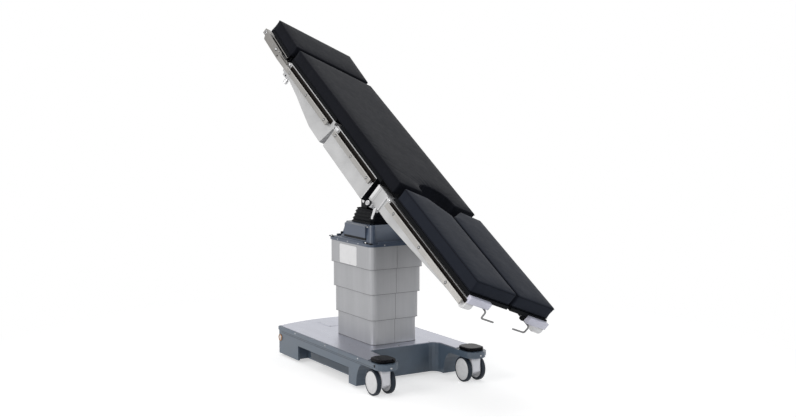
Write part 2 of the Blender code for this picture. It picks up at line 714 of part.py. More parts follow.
def make_hood():
    """The painted hood: a flange and a tapered, open-topped box with side panels and a sunk foot face."""
    top_stage = STAGE_COUNT - 1
    low = COLUMN_TOP + SEAT_GAP
    plate = extruded("column_hood", stage_outline(top_stage, -FLANGE_OVERHANG), low, low + FLANGE_HEIGHT)
    hood = add_object("column_hood", plate, SLATE, lift_axis)
    box_low = low + FLANGE_HEIGHT - 0.002
    join(hood, tapered_box("hood_box", HOOD_BOTTOM_LOW, HOOD_BOTTOM_HIGH, HOOD_TOP_LOW, HOOD_TOP_HIGH,
                           box_low, HOOD_TOP, HOOD_RADIUS))
    inside_y = HOOD_TOP_HIGH[1] - 0.002
    panel_top = HOOD_PANEL_HIGH + HOOD_PANEL_SLOPE
    for side in (NEAR, FAR):
        outline = [(side * inside_y, HOOD_PANEL_LOW), (side * HOOD_PANEL_OUT, HOOD_PANEL_LOW),
                   (side * HOOD_PANEL_OUT, HOOD_PANEL_HIGH), (side * (inside_y + 0.003), panel_top),
                   (side * inside_y, panel_top)]
        join(hood, extruded("hood_panel", outline, HOOD_PANEL[0], HOOD_PANEL[1], CROSS))
    sunk = []
    for half_y, z in (HOOD_RECESS_LOW, HOOD_RECESS_HIGH):
        lean = (HOOD_TOP - z) / (HOOD_TOP - box_low)
        face_x = HOOD_TOP_HIGH[0] + (HOOD_BOTTOM_HIGH[0] - HOOD_TOP_HIGH[0]) * lean
        sunk += [(face_x - HOOD_RECESS_DEPTH, -half_y), (face_x + 0.02, half_y)]
    cut(hood, tapered_box("hood_recess", *sunk, HOOD_RECESS_LOW[1], HOOD_RECESS_HIGH[1], 0.002))
    wall = HOOD_WALL
    foot_wall = wall + HOOD_RECESS_DEPTH
    inner_low = (HOOD_BOTTOM_LOW[0] + wall, HOOD_BOTTOM_LOW[1] + wall)
    inner_high = (HOOD_BOTTOM_HIGH[0] - foot_wall, HOOD_BOTTOM_HIGH[1] - wall)
    inner_top_low = (HOOD_TOP_LOW[0] + wall, HOOD_TOP_LOW[1] + wall)
    inner_top_high = (HOOD_TOP_HIGH[0] - foot_wall, HOOD_TOP_HIGH[1] - wall)
    cut(hood, tapered_box("hood_inside", inner_low, inner_high, inner_top_low, inner_top_high,
                          low - 0.01, HOOD_TOP - wall, HOOD_RADIUS - wall))
    opening = HOOD_OPENING
    cut(hood, box_mesh("hood_opening", (opening[0], opening[1], HOOD_TOP - 0.03),
                       (opening[2], opening[3], HOOD_TOP + 0.01)))


def make_gaiter():
    """The folded rubber gaiter round the tilt joint: stacked rings with a wall from Solidify."""
    low = HOOD_TOP + SEAT_GAP
    rings = 2 * GAITER_FOLDS + 1
    bm = bmesh.new()
    previous = None
    for ring in range(rings):
        share = ring / (rings - 1)
        z = low + (GAITER_TOP - low) * share
        fold = GAITER_FOLD_DEPTH if ring % 2 else 0.0
        inset_x, inset_y = (taper * share + fold for taper in GAITER_TAPER)
        corners = rectangle((GAITER_LOW[0] + inset_x, GAITER_LOW[1] + inset_y),
                            (GAITER_HIGH[0] - inset_x, GAITER_HIGH[1] - inset_y), 0.030, 2)
        points = [bm.verts.new((x, y, z)) for x, y in corners]
        loop = [bm.edges.new(pair) for pair in zip(points, points[1:] + points[:1])]
        if previous:
            bmesh.ops.bridge_loops(bm, edges=previous + loop)
        previous = loop
    gaiter = add_object("column_gaiter", mesh_from(bm, "column_gaiter"), RUBBER, lift_axis)
    wall = gaiter.modifiers.new("wall", "SOLIDIFY")
    wall.thickness = GAITER_WALL
    wall.offset = -1.0


def make_cross():
    """The cross of the tilt joint: two pins across the column and two along the table."""
    half_y = YOKE_INNER - RUNNING_GAP
    block = box_mesh("trunnion_cross", (-CROSS_HALF_U, -half_y, -CROSS_HALF_HEIGHT),
                     (CROSS_HALF_U, half_y, CROSS_HALF_HEIGHT))
    cross = add_object("trunnion_cross", block, CHROME, trend_axis)
    bevel(cross, 0.004, 1)
    pin_y = YOKE_INNER + YOKE_THICK + 0.004
    pin_u = CROSS_HALF_U + RUNNING_GAP + HANGER_THICK + 0.004
    join(cross, rod_mesh("cross_pin_y", (0, -pin_y, 0), (0, pin_y, 0), TRUNNION_RADIUS, 16),
         rod_mesh("cross_pin_u", (-pin_u, 0, 0), (pin_u, 0, 0), TRUNNION_RADIUS, 16))


COVER_OUTER = PAD_HALF_WIDTH
COVER_INNER = PAD_HALF_WIDTH - COVER_THICK
BEAM_OUTER = COVER_INNER - 2 * SEAT_GAP
PLATE_TOP_DEPTH = PAD_THICK + SEAT_GAP
PLATE_LOW_DEPTH = PLATE_TOP_DEPTH + PLATE_THICK


def cutout(edge_u, grow=0.0, steps=12):
    """The rounded bay in the seat's foot edge, from the far side to the near side."""
    points = []
    for step in range(steps + 1):
        turn = math.radians(90 - 180 * step / steps)
        v = (CUTOUT_HALF_WIDTH + grow) * math.sin(turn)
        points.append((edge_u - (CUTOUT_DEPTH + grow) * math.cos(turn) ** 0.8, v))
    return points


def seat_outline(head_u, foot_u, half_width, grow=0.0, step=None):
    """The seat's plan with its bay in the foot edge, and with its outer corners stepped back if asked."""
    outline = [(foot_u, half_width), (head_u, half_width)]
    if step:
        outline = [(foot_u, step[1]), (step[0], step[1]), (step[0], half_width), (head_u, half_width)]
    mirrored = [(u, -v) for u, v in outline[::-1]]
    return mirrored + cutout(foot_u, grow)[::-1] + outline


def make_seat():
    """The seat section: its frame with hangers and leg ears, mattress, covers and rails."""
    plate_head_u = BACK_HINGE[0] + PLATE_FOLD_GAP
    outline = seat_outline(plate_head_u, SEAT_PLATE_FOOT_U, PAD_HALF_WIDTH - 0.001, -0.002,
                           (BLOCK_HEAD_U - 0.003, COVER_INNER - 0.003))
    frame = add_object("seat_frame", extruded("seat_frame", outline, height(PLATE_LOW_DEPTH),
                                              height(PLATE_TOP_DEPTH)), BLACK_STEEL, tilt_axis)
    top = height(PLATE_LOW_DEPTH - 0.002)
    low = height(BEAM_DEPTH)
    foot_beam_u = SEAT_FOOT_U + SEAT_GAP
    for side in (NEAR, FAR):
        v_low, v_high = span(side, BEAM_OUTER - BEAM_THICK, BEAM_OUTER)
        end = arc((BACK_HINGE[0], height(BACK_HINGE[1])), BACK_KNUCKLE, 90, 180, 5)
        beam = [(SEAT_FOOT_U, low), (SEAT_FOOT_U, top), (plate_head_u + 0.004, top)]
        beam += [(plate_head_u + 0.004, end[0][1])] + end + [(SEAT_HEAD_U + 0.03, low)]
        join(frame, extruded("side_beam", beam, -v_high, -v_low, SIDE))
        pin_end = side * (COVER_OUTER - 0.002)
        hinge = (BACK_HINGE[0], height(BACK_HINGE[1]))
        join(frame, rod_mesh("back_pin", (hinge[0], side * (BEAM_OUTER - 0.004), hinge[1]),
                             (hinge[0], pin_end, hinge[1]), BACK_PIN_RADIUS, 16))
        join_leg_ear(frame, side, foot_beam_u)
    beam_v = COVER_INNER + EAR_THICK
    join(frame, box_mesh("foot_beam", (foot_beam_u, -beam_v, low), (foot_beam_u + EAR_WIDTH, beam_v, top)))
    join(frame, box_mesh("head_beam", (-FRAME_BEAM_U - 0.02, -BEAM_OUTER + 0.002, low),
                         (-FRAME_BEAM_U + 0.02, BEAM_OUTER - 0.002, top)))
    for sign in (-1, 1):
        inner = CROSS_HALF_U + RUNNING_GAP
        u_low, u_high = sorted((sign * inner, sign * (inner + HANGER_THICK)))
        hanger = arc((0, 0), HANGER_RADIUS, 180, 360, 10)
        hanger += [(HANGER_HALF_WIDTH, 0.03), (HANGER_TOP_HALF_WIDTH, low), (HANGER_TOP_HALF_WIDTH, top)]
        hanger += [(-HANGER_TOP_HALF_WIDTH, top), (-HANGER_TOP_HALF_WIDTH, low), (-HANGER_HALF_WIDTH, 0.03)]
        join(frame, extruded("hanger", hanger, u_low, u_high, CROSS))
        cut(frame, rod_mesh("hanger_bore", (u_low - 0.01, 0, 0), (u_high + 0.01, 0, 0),
                            TRUNNION_RADIUS + PIN_GAP, 16))
    pad_head_u = BACK_HINGE[0] + FOLD_HALF
    pad = add_object("seat_pad", extruded("seat_pad", seat_outline(pad_head_u, SEAT_PAD_FOOT_U, PAD_HALF_WIDTH),
                                          height(PAD_THICK), PAD_TOP), VINYL, tilt_axis)
    bevel(pad, PAD_EDGE)
    fold_low = BACK_HINGE[0] - FOLD_HALF + SEAT_GAP
    fold = add_object("fold_pad", box_mesh("fold_pad", (fold_low, -PAD_HALF_WIDTH, height(PAD_THICK)),
                                           (pad_head_u - SEAT_GAP, PAD_HALF_WIDTH, PAD_TOP)), VINYL, tilt_axis)
    bevel(fold, PAD_EDGE)
    for side in (NEAR, FAR):
        make_seat_cover(side)
        make_rail("seat_rail_" + SIDE_NAMES[side], side, SEAT_RAIL, SEAT_STUD_SHARES, tilt_axis, Vector((0, 0, 0)))


def join_leg_ear(frame, side, foot_beam_u):
    """The black ear that reaches down from the seat frame to a leg's hinge pin."""
    hinge = (LEG_HINGE[0], height(LEG_HINGE[1]))
    radius = LEG_LUG_RADIUS - 0.001
    post_u = foot_beam_u + EAR_WIDTH
    outline = [(foot_beam_u, height(BEAM_DEPTH) + 0.004), (foot_beam_u, hinge[1] - radius)]
    outline += arc(hinge, radius, -90, 190, 14)
    outline += [(post_u + 0.006, hinge[1] - 0.008), (post_u, hinge[1] - 0.002), (post_u, height(BEAM_DEPTH) + 0.004)]
    v_low, v_high = span(side, COVER_INNER, COVER_INNER + EAR_THICK)
    join(frame, extruded("leg_ear", outline, -v_high, -v_low, SIDE))
    cut(frame, rod_mesh("leg_pin_bore", (hinge[0], v_low - 0.01, hinge[1]), (hinge[0], v_high + 0.01, hinge[1]),
                        LEG_PIN_RADIUS + PIN_GAP, 20))


def make_seat_cover(side):
    """A silver side housing of the seat, notched at the top for the back hinge's barrel."""
    name = "seat_side_cover_" + SIDE_NAMES[side]
    low, high = span(side, COVER_INNER, COVER_OUTER)
    outline = rounded([
        (SEAT_HEAD_U, height(SEAT_COVER_DEPTH), 0.006), (SEAT_FOOT_U, height(SEAT_COVER_DEPTH), 0.006),
        (SEAT_FOOT_U, height(PLATE_LOW_DEPTH) - SEAT_GAP, 0), (SEAT_HEAD_U, height(PLATE_LOW_DEPTH) - SEAT_GAP, 0)], 3)
    cover = add_object(name, extruded(name, outline, -high, -low, SIDE), SILVER, tilt_axis)
    bevel(cover, COVER_EDGE)
    hinge = (BACK_HINGE[0], height(BACK_HINGE[1]))
    cut(cover, rod_mesh("barrel_notch", (hinge[0], low - 0.01, hinge[1]), (hinge[0], high + 0.01, hinge[1]),
                        BACK_KNUCKLE + RUNNING_GAP, 24))


def make_rail(name, side, ends, shares, parent, offset):
    """A 25 by 10 mm accessory rail on three stand-off studs."""
    inner = COVER_OUTER + RAIL_STANDOFF
    low, high = span(side, inner, inner + RAIL_THICK)
    rail = add_object(name, box_mesh(name, (ends[0], low, height(RAIL_DEPTH + RAIL_HEIGHT)),
                                     (ends[1], high, height(RAIL_DEPTH))), RAIL_STEEL, parent, offset)
    bevel(rail, 0.0015, 1)
    middle = height(RAIL_DEPTH + RAIL_HEIGHT / 2)
    start = side * (COVER_OUTER + SEAT_GAP)
    end = side * (inner + RAIL_THICK / 2)
    for share in shares:
        u = ends[0] + (ends[1] - ends[0]) * share
        join(rail, rod_mesh("rail_stud", (u, start, middle), (u, end, middle), RAIL_STUD_RADIUS, 12))


def make_back():
    """The back section: its plate frame, mattress, side housings with hinge barrels, and rails."""
    foot_u = BACK_HINGE[0] - PLATE_FOLD_GAP
    half = PAD_HALF_WIDTH - 0.001
    frame = add_object("back_frame", extruded("back_frame", rectangle((BACK_HEAD_U, -half), (foot_u, half)),
                                              height(PLATE_LOW_DEPTH), height(PLATE_TOP_DEPTH)),
                       BLACK_STEEL, back_axis, BACK_ORIGIN)
    top = height(PLATE_LOW_DEPTH - 0.002)
    for side in (NEAR, FAR):
        v_low, v_high = span(side, BEAM_OUTER - BEAM_THICK, BEAM_OUTER)
        join(frame, box_mesh("back_beam", (BACK_HEAD_U + 0.02, v_low, height(BEAM_DEPTH)),
                             (foot_u - 0.02, v_high, top)))
        make_back_cover(side)
        make_rail("back_rail_" + SIDE_NAMES[side], side, BACK_RAIL, BACK_STUD_SHARES, back_axis, BACK_ORIGIN)
        make_clamp_knob(side)
    for u in (BACK_HEAD_U + 0.10, (BACK_HEAD_U + foot_u) / 2, foot_u - 0.06):
        join(frame, box_mesh("back_rib", (u - 0.015, -BEAM_OUTER + 0.002, height(0.105)),
                             (u + 0.015, BEAM_OUTER - 0.002, top)))
    pad_foot_u = BACK_HINGE[0] - FOLD_HALF
    pad = add_object("back_pad", box_mesh("back_pad", (BACK_PAD_HEAD_U, -PAD_HALF_WIDTH, height(PAD_THICK)),
                                          (pad_foot_u, PAD_HALF_WIDTH, PAD_TOP)), VINYL, back_axis, BACK_ORIGIN)
    bevel(pad, PAD_EDGE)


def make_back_cover(side):
    """A side housing of the back: a curved lower edge, a hinge barrel and an ear for the head hinge."""
    name = "back_side_cover_" + SIDE_NAMES[side]
    low, high = span(side, COVER_INNER, COVER_OUTER)
    top = height(PLATE_LOW_DEPTH) - SEAT_GAP
    barrel = (BACK_HINGE[0], height(BACK_HINGE[1]))
    ear = (HEAD_HINGE[0], height(HEAD_HINGE[1]))
    head_low = height(BACK_STUB_DEPTH)
    outline = uw(BACK_LOWER_EDGE)
    outline += [(BACK_STUB_U + 0.06, head_low), (BACK_STUB_U, head_low)]
    outline += arc(ear, HEAD_KNUCKLE - 0.002, 200, 90, 7)
    outline += [(BACK_HEAD_U + 0.01, top), (barrel[0] - 0.0190, top), (barrel[0] - 0.0184, barrel[1] + 0.0086)]
    outline += arc(barrel, BACK_KNUCKLE, 156, -130, 14)
    cover = add_object(name, extruded(name, outline[::-1], -high, -low, SIDE), SILVER, back_axis, BACK_ORIGIN)
    middle = COVER_INNER + COVER_THICK / 2
    v_low, v_high = span(side, middle, COVER_OUTER + 0.01)
    cut(cover, rod_mesh("knuckle_relief", (ear[0], v_low, ear[1]), (ear[0], v_high, ear[1]),
                        HEAD_KNUCKLE + RUNNING_GAP, 32),
        extruded("bar_relief", [(ear[0], ear[1]), (ear[0], ear[1] + 0.04), (ear[0] - 0.06, ear[1] + 0.04),
                                (ear[0] - 0.06, ear[1] - 0.0850), (ear[0] + 0.0125, ear[1] - 0.0125)],
                 -v_high, -v_low, SIDE),
        rod_mesh("head_pin_bore", (ear[0], low - 0.01, ear[1]), (ear[0], high + 0.01, ear[1]),
                 HEAD_PIN_RADIUS + PIN_GAP, 20),
        rod_mesh("back_pin_bore", (barrel[0], low - 0.01, barrel[1]), (barrel[0], high + 0.01, barrel[1]),
                 BACK_PIN_RADIUS + PIN_GAP, 20))


def make_clamp_knob(side):
    """The screw knob under the back housing that clamps the head section."""
    name = "head_clamp_knob_" + SIDE_NAMES[side]
    v = side * (COVER_INNER + COVER_THICK / 2)
    top = height(BACK_STUB_DEPTH) - SEAT_GAP
    profile = [(0.0, 0.0), (0.005, 0.0), (0.005, -0.008), (KNOB_RADIUS, -0.010),
               (KNOB_RADIUS, -KNOB_HEIGHT + 0.002), (KNOB_RADIUS - 0.002, -KNOB_HEIGHT), (0.0, -KNOB_HEIGHT)]
    bm = bmesh.new()
    points = [bm.verts.new((radius, 0, z)) for radius, z in profile]
    for first, second in zip(points, points[1:]):
        bm.edges.new((first, second))
    mesh = bpy.data.meshes.new(name)
    bm.to_mesh(mesh)
    bm.free()
    knob = add_object(name, mesh, CHROME, back_axis)
    knob.location = Vector((KNOB_U, v, top)) - BACK_ORIGIN
    screw = knob.modifiers.new("turned", "SCREW")
    screw.axis = "Z"
    screw.steps = 14
    screw.render_steps = 14
    screw.use_merge_vertices = True
    screw.merge_threshold = 0.00001
    screw.use_normal_calculate = True


def make_head():
    """The head section: plate frame, mattress and two hinged side bars."""
    half = PAD_HALF_WIDTH - 0.001
    foot_u = HEAD_PAD_FOOT_U - 0.003
    head_u = HEAD_PAD_HEAD_U
    frame = add_object("head_frame", extruded("head_frame", rectangle((head_u, -half), (foot_u, half)),
                                              height(PLATE_LOW_DEPTH), height(PLATE_TOP_DEPTH)),
                       BLACK_STEEL, head_axis, HEAD_ORIGIN)
    bar_inner = COVER_OUTER + HEAD_BAR_OUT - HEAD_BAR_THICK
    for side in (NEAR, FAR):
        v_low, v_high = span(side, bar_inner - SEAT_GAP - HEAD_RIB_THICK, bar_inner - SEAT_GAP)
        join(frame, box_mesh("head_rib", (head_u + 0.02, v_low, height(0.122)),
                             (foot_u - 0.02, v_high, height(PLATE_LOW_DEPTH - 0.002))))
        make_head_bar(side, bar_inner)
    pad = add_object("head_pad", box_mesh("head_pad", (head_u, -PAD_HALF_WIDTH, height(PAD_THICK)),
                                          (HEAD_PAD_FOOT_U, PAD_HALF_WIDTH, PAD_TOP)),
                     VINYL, head_axis, HEAD_ORIGIN)
    bevel(pad, PAD_EDGE)


def make_head_bar(side, inner):
    """A grey side bar of the head section, with its hinge knuckle, pin and end tab."""
    name = "head_side_bar_" + SIDE_NAMES[side]
    low, high = span(side, inner, inner + HEAD_BAR_THICK)
    hinge = (HEAD_HINGE[0], height(HEAD_HINGE[1]))
    top = hinge[1] + HEAD_KNUCKLE
    outline = arc(hinge, HEAD_KNUCKLE, -90, 90, 10)
    outline += [(HEAD_BAR_END_U, top), (HEAD_BAR_END_U, top - 0.028), (HEAD_BAR_END_U + 0.030, top - 0.028)]
    outline += uw([(HEAD_BAR_END_U + 0.040, HEAD_BAR_DEPTH), (HEAD_HINGE[0] - HEAD_BAR_ARCH, HEAD_BAR_DEPTH)])
    outline += [(hinge[0] - HEAD_BAR_NECK, hinge[1] - HEAD_KNUCKLE)]
    bar = add_object(name, extruded(name, outline, -high, -low, SIDE), RAIL_STEEL, head_axis, HEAD_ORIGIN)
    ear_face = COVER_INNER + COVER_THICK / 2
    relief_low, relief_high = span(side, inner - 0.01, ear_face + RUNNING_GAP)
    cut(bar, rod_mesh("ear_relief", (hinge[0], relief_low, hinge[1]), (hinge[0], relief_high, hinge[1]),
                      HEAD_KNUCKLE + 0.004, 24))
    join(bar, rod_mesh("head_pin", (hinge[0], side * (COVER_INNER + 0.002), hinge[1]),
                       (hinge[0], side * (ear_face + 0.006), hinge[1]), HEAD_PIN_RADIUS, 16))


def leg_outline(head_u, foot_u, chamfer_v, chamfer_u, side):
    """The plan of a leg plate or pad, with its inner head corner cut off."""
    inner = LEG_SPLIT_HALF
    outer = PAD_HALF_WIDTH
    outline = [(head_u, outer), (head_u, chamfer_v), (head_u + chamfer_u, inner), (foot_u, inner), (foot_u, outer)]
    return [(u, side * v) for u, v in outline]


def make_leg(side):
    """One leg section on its hinge block: housing, plate, mattress, rail, spring, handle and lever."""
    tag = SIDE_NAMES[side]
    flex = empty("leg_axis_" + tag, tilt_axis, LEG_ORIGIN, (0, -math.radians(LEG_ANGLE), 0))
    make_leg_block(side, flex)
    make_lock_lever(side, flex)
    swivel_point = Vector((SWIVEL_U, side * COVER_OUTER, LEG_ORIGIN.z))
    swivel = empty("leg_swivel_" + tag, flex, swivel_point - LEG_ORIGIN)
    make_leg_cover(side, swivel, swivel_point)
    frame = add_object("leg_frame_" + tag,
                       extruded("leg_frame", leg_outline(LEG_PLATE_HEAD_U, LEG_PLATE_FOOT_U, LEG_CHAMFER_V,
                                                         LEG_CHAMFER_U + 0.03, side),
                                height(PLATE_LOW_DEPTH), height(PLATE_TOP_DEPTH)),
                       BLACK_STEEL, swivel, swivel_point)
    top = height(PLATE_LOW_DEPTH - 0.002)
    v_low, v_high = span(side, BEAM_OUTER - 0.012, BEAM_OUTER)
    join(frame, box_mesh("leg_beam", (LEG_PLATE_HEAD_U + 0.02, v_low, height(0.112)),
                         (LEG_PLATE_FOOT_U - 0.03, v_high, top)))
    spring_low, spring_high = span(side, SPRING_V - SPRING_RADIUS, SPRING_V + SPRING_RADIUS)
    for u in (SPRING_HEAD_U - SEAT_GAP - SPRING_LUG, SPRING_FOOT_U + SEAT_GAP):
        join(frame, box_mesh("spring_lug", (u, spring_low, height(SPRING_DEPTH + SPRING_RADIUS)),
                             (u + SPRING_LUG, spring_high, top)))
    for u in (HANDLE_START_U + 0.02, LEG_PLATE_FOOT_U - 0.034):
        block_low, block_high = span(side, HANDLE_V - GUIDE_BLOCK / 2, HANDLE_V + GUIDE_BLOCK / 2)
        join(frame, box_mesh("handle_guide", (u, block_low, height(HANDLE_DEPTH + GUIDE_BLOCK / 2)),
                             (u + GUIDE_BLOCK, block_high, top)))
    cut(frame, rod_mesh("handle_bore", (HANDLE_START_U, side * HANDLE_V, height(HANDLE_DEPTH)),
                        (HANDLE_END_U, side * HANDLE_V, height(HANDLE_DEPTH)), HANDLE_RADIUS + PIN_GAP, 16))
    pad = add_object("leg_pad_" + tag,
                     extruded("leg_pad", leg_outline(LEG_PAD_HEAD_U, LEG_PAD_FOOT_U, LEG_CHAMFER_V,
                                                     LEG_CHAMFER_U, side), height(PAD_THICK), PAD_TOP),
                     VINYL, swivel, swivel_point)
    bevel(pad, PAD_EDGE)
    make_rail("leg_rail_" + tag, side, LEG_RAIL, LEG_STUD_SHARES, swivel, swivel_point)
    make_gas_spring(side, swivel, swivel_point)
    make_release_handle(side, swivel, swivel_point)


def make_leg_block(side, flex):
    """The silver block that turns on the leg hinge and carries the leg's swivel barrels."""
    name = "leg_hinge_block_" + SIDE_NAMES[side]
    low, high = span(side, COVER_INNER, COVER_OUTER)
    hinge = (LEG_HINGE[0], height(LEG_HINGE[1]))
    bottom = height(BLOCK_DEPTH)
    angle = math.degrees(math.asin((bottom - hinge[1]) / LEG_LUG_RADIUS))
    outline = uw([(BLOCK_FOOT_U, BLOCK_DEPTH), (BLOCK_FOOT_U, COVER_TOP_DEPTH), (BLOCK_HEAD_U, COVER_TOP_DEPTH),
                  (BLOCK_HEAD_U, BLOCK_DEPTH)])
    outline += arc(hinge, LEG_LUG_RADIUS, 184 - angle, 356 + angle, 12)
    block = add_object(name, extruded(name, outline, -high, -low, SIDE), SILVER, flex, LEG_ORIGIN)
    inner_low, inner_high = span(side, COVER_INNER - 0.01, COVER_INNER + EAR_THICK + RUNNING_GAP)
    cut(block, rod_mesh("ear_relief", (hinge[0], inner_low, hinge[1]), (hinge[0], inner_high, hinge[1]),
                        LEG_LUG_RADIUS + 0.0015, 24))
    pin_start = side * (COVER_INNER + 0.002)
    nut_start = side * (COVER_OUTER - 0.001)
    nut_end = side * (COVER_OUTER + LEG_NUT_LENGTH)
    pin_end = side * (COVER_OUTER + LEG_PIN_END)
    join(block, rod_mesh("leg_pin", (hinge[0], pin_start, hinge[1]), (hinge[0], pin_end, hinge[1]),
                         LEG_PIN_RADIUS, 16),
         rod_mesh("leg_nut", (hinge[0], nut_start, hinge[1]), (hinge[0], nut_end, hinge[1]), LEG_NUT_RADIUS, 6))
    lever = (LEVER_PIVOT[0], height(LEVER_PIVOT[1]))
    join(block, rod_mesh("lever_boss", (lever[0], side * (COVER_OUTER - 0.014), lever[1]),
                         (lever[0], side * COVER_OUTER, lever[1]), LEVER_WIDTH / 2 + 0.004, 16))
    axis = (SWIVEL_U, side * COVER_OUTER)
    depths = SWIVEL_BARREL_DEPTHS
    cut(block, rod_mesh("barrel_relief", (*axis, height(depths[1] - RUNNING_GAP)),
                        (*axis, height(depths[2] + RUNNING_GAP)), SWIVEL_BARREL + RUNNING_GAP, 12))
    join(block, rod_mesh("upper_barrel", (*axis, height(depths[0])), (*axis, height(depths[1] - RUNNING_GAP)),
                         SWIVEL_BARREL, 12),
         rod_mesh("lower_barrel", (*axis, height(depths[2] + RUNNING_GAP)), (*axis, height(depths[3])),
                  SWIVEL_BARREL, 12),
         rod_mesh("swivel_pin", (*axis, height(depths[0] + 0.002)), (*axis, height(depths[3] - 0.002)),
                  SWIVEL_PIN, 8))


def make_leg_cover(side, swivel, offset):
    """The long silver side housing of a leg, with its swivel barrel and the bracket at the foot."""
    name = "leg_side_cover_" + SIDE_NAMES[side]
    low, high = span(side, COVER_INNER, COVER_OUTER)
    top = height(COVER_TOP_DEPTH)
    outline = uw([(LEG_COVER_HEAD_U, COVER_TOP_DEPTH), (LEG_COVER_HEAD_U, BLOCK_DEPTH), *LEG_LOWER_EDGE])
    outline += arc((LEG_COVER_FOOT_U - LEG_END_RADIUS, top - LEG_END_RADIUS), LEG_END_RADIUS, -70, 90, 9)
    cover = add_object(name, extruded(name, outline, -high, -low, SIDE), SILVER, swivel, offset)
    bevel(cover, COVER_EDGE)
    bracket_low, bracket_high = span(side, COVER_OUTER - LEG_BRACKET_LENGTH, COVER_OUTER)
    u_low = LEG_PLATE_FOOT_U + SEAT_GAP
    v_low, v_high = span(side, COVER_INNER, COVER_OUTER)
    join(cover, box_mesh("foot_bracket", (u_low, bracket_low, height(LEG_BRACKET_BOTTOM)),
                         (u_low + LEG_BRACKET_U, bracket_high, height(LEG_BRACKET_TOP))),
         box_mesh("bracket_foot", (LEG_COVER_FOOT_U - 0.02, v_low + 0.004, height(LEG_BRACKET_BOTTOM + 0.012)),
                  (u_low + LEG_BRACKET_U, v_high - 0.004, height(LEG_BRACKET_BOTTOM - 0.004))))
    axis = (SWIVEL_U, side * COVER_OUTER)
    depths = SWIVEL_BARREL_DEPTHS
    for first, last in ((COVER_TOP_DEPTH - 0.004, depths[1]), (depths[2], BLOCK_DEPTH + 0.004)):
        cut(cover, rod_mesh("barrel_relief", (*axis, height(first)), (*axis, height(last)),
                            SWIVEL_BARREL + RUNNING_GAP, 12))
    join(cover, rod_mesh("leg_barrel", (*axis, height(depths[1])), (*axis, height(depths[2])),
                         SWIVEL_BARREL, 12))
    cut(cover, rod_mesh("swivel_bore", (*axis, height(depths[1] - 0.005)), (*axis, height(depths[2] + 0.005)),
                        SWIVEL_PIN + PIN_GAP, 8))


def make_gas_spring(side, swivel, offset):
    """The lockable gas spring along the leg: a cylinder, its rod and two end eyes."""
    name = "leg_gas_spring_" + SIDE_NAMES[side]
    v = side * SPRING_V
    w = height(SPRING_DEPTH)
    eye = 0.016
    spring = add_object(name, rod_mesh(name, (SPRING_HEAD_U + eye, v, w), (SPRING_BODY_U, v, w),
                                       SPRING_RADIUS, 20), CHROME, swivel, offset)
    join(spring, rod_mesh("spring_rod", (SPRING_BODY_U - 0.004, v, w), (SPRING_FOOT_U - eye + 0.004, v, w),
                          SPRING_ROD_RADIUS, 12))
    for start, end in ((SPRING_HEAD_U, SPRING_HEAD_U + eye + 0.001), (SPRING_FOOT_U - eye, SPRING_FOOT_U)):
        join(spring, box_mesh("spring_eye", (start, v - 0.005, w - 0.007), (end, v + 0.005, w + 0.007)))


def make_release_handle(side, swivel, offset):
    """The bent release rod: it runs along the leg, drops behind the bracket and turns inwards."""
    name = "leg_release_handle_" + SIDE_NAMES[side]
    v = side * HANDLE_V
    w = height(HANDLE_DEPTH)
    bend = 0.008
    route = [(HANDLE_START_U, v, w), (HANDLE_END_U - bend, v, w), (HANDLE_END_U - bend * 0.3, v, w - bend * 0.3),
             (HANDLE_END_U, v, w - bend), (HANDLE_END_U, v, w - HANDLE_DROP + bend),
             (HANDLE_END_U, v - side * bend * 0.3, w - HANDLE_DROP + bend * 0.3),
             (HANDLE_END_U, v - side * bend, w - HANDLE_DROP), (HANDLE_END_U, v - side * HANDLE_BAR, w - HANDLE_DROP)]
    curve = bpy.data.curves.new(name, "CURVE")
    curve.dimensions = "3D"
    curve.bevel_depth = HANDLE_RADIUS
    curve.bevel_resolution = 2
    curve.use_fill_caps = True
    spline = curve.splines.new("POLY")
    spline.points.add(len(route) - 1)
    for point, place in zip(spline.points, route):
        point.co = (*place, 1)
    handle = bpy.data.objects.new(name, curve)
    PARTS.objects.link(handle)
    handle.parent = swivel
    handle.location = -offset
    curve.materials.append(CHROME)


def make_lock_lever(side, flex):
    """The lever on the hinge block that locks the leg's swivel; it hangs straight down at rest."""
    name = "leg_lock_lever_" + SIDE_NAMES[side]
    start = COVER_OUTER + SEAT_GAP
    low, high = span(side, start, start + LEVER_THICK)
    half = LEVER_WIDTH / 2
    outline = arc((0, 0), half + 0.002, 0, 180, 8) + arc((0, -LEVER_LENGTH + half), half, 180, 360, 8)
    mesh = extruded(name, outline, -high, -low, SIDE)
    pivot = Vector((LEVER_PIVOT[0], 0, height(LEVER_PIVOT[1])))
    lever = add_object(name, mesh, CHROME, flex)
    lever.location = pivot - LEG_ORIGIN
    lever.rotation_euler = (0, -math.radians(LEVER_HANG), 0)
    bevel(lever, 0.0015, 1)


make_base_shell()
make_deck()
CASTER_NAMES = ("caster_head_near", "caster_head_far", "caster_foot_near", "caster_foot_far")
for caster_name, (caster_x, caster_y) in zip(CASTER_NAMES, caster_places()):
    make_caster(caster_name, caster_x, caster_y)
make_column_covers()
make_lift()
make_hood()
make_gaiter()
make_cross()
make_seat()
make_back()
make_head()
for leg_side in (NEAR, FAR):
    make_leg(leg_side)
for item in bpy.data.objects:
    if item.parent is None:
        item.location += Vector((COLUMN_X, COLUMN_Y, 0))
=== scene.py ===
"""A mobile operating table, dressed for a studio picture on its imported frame.

Sizes are in metres. The column stands upright; the table top has its own axes, u along the top to
the foot end, v to the far side and w out of the mattress, which SEAT, HEAD and LEG turn into place.
"""
import math

import bmesh
import bpy
import numpy as np
from mathutils import Matrix, Vector, noise


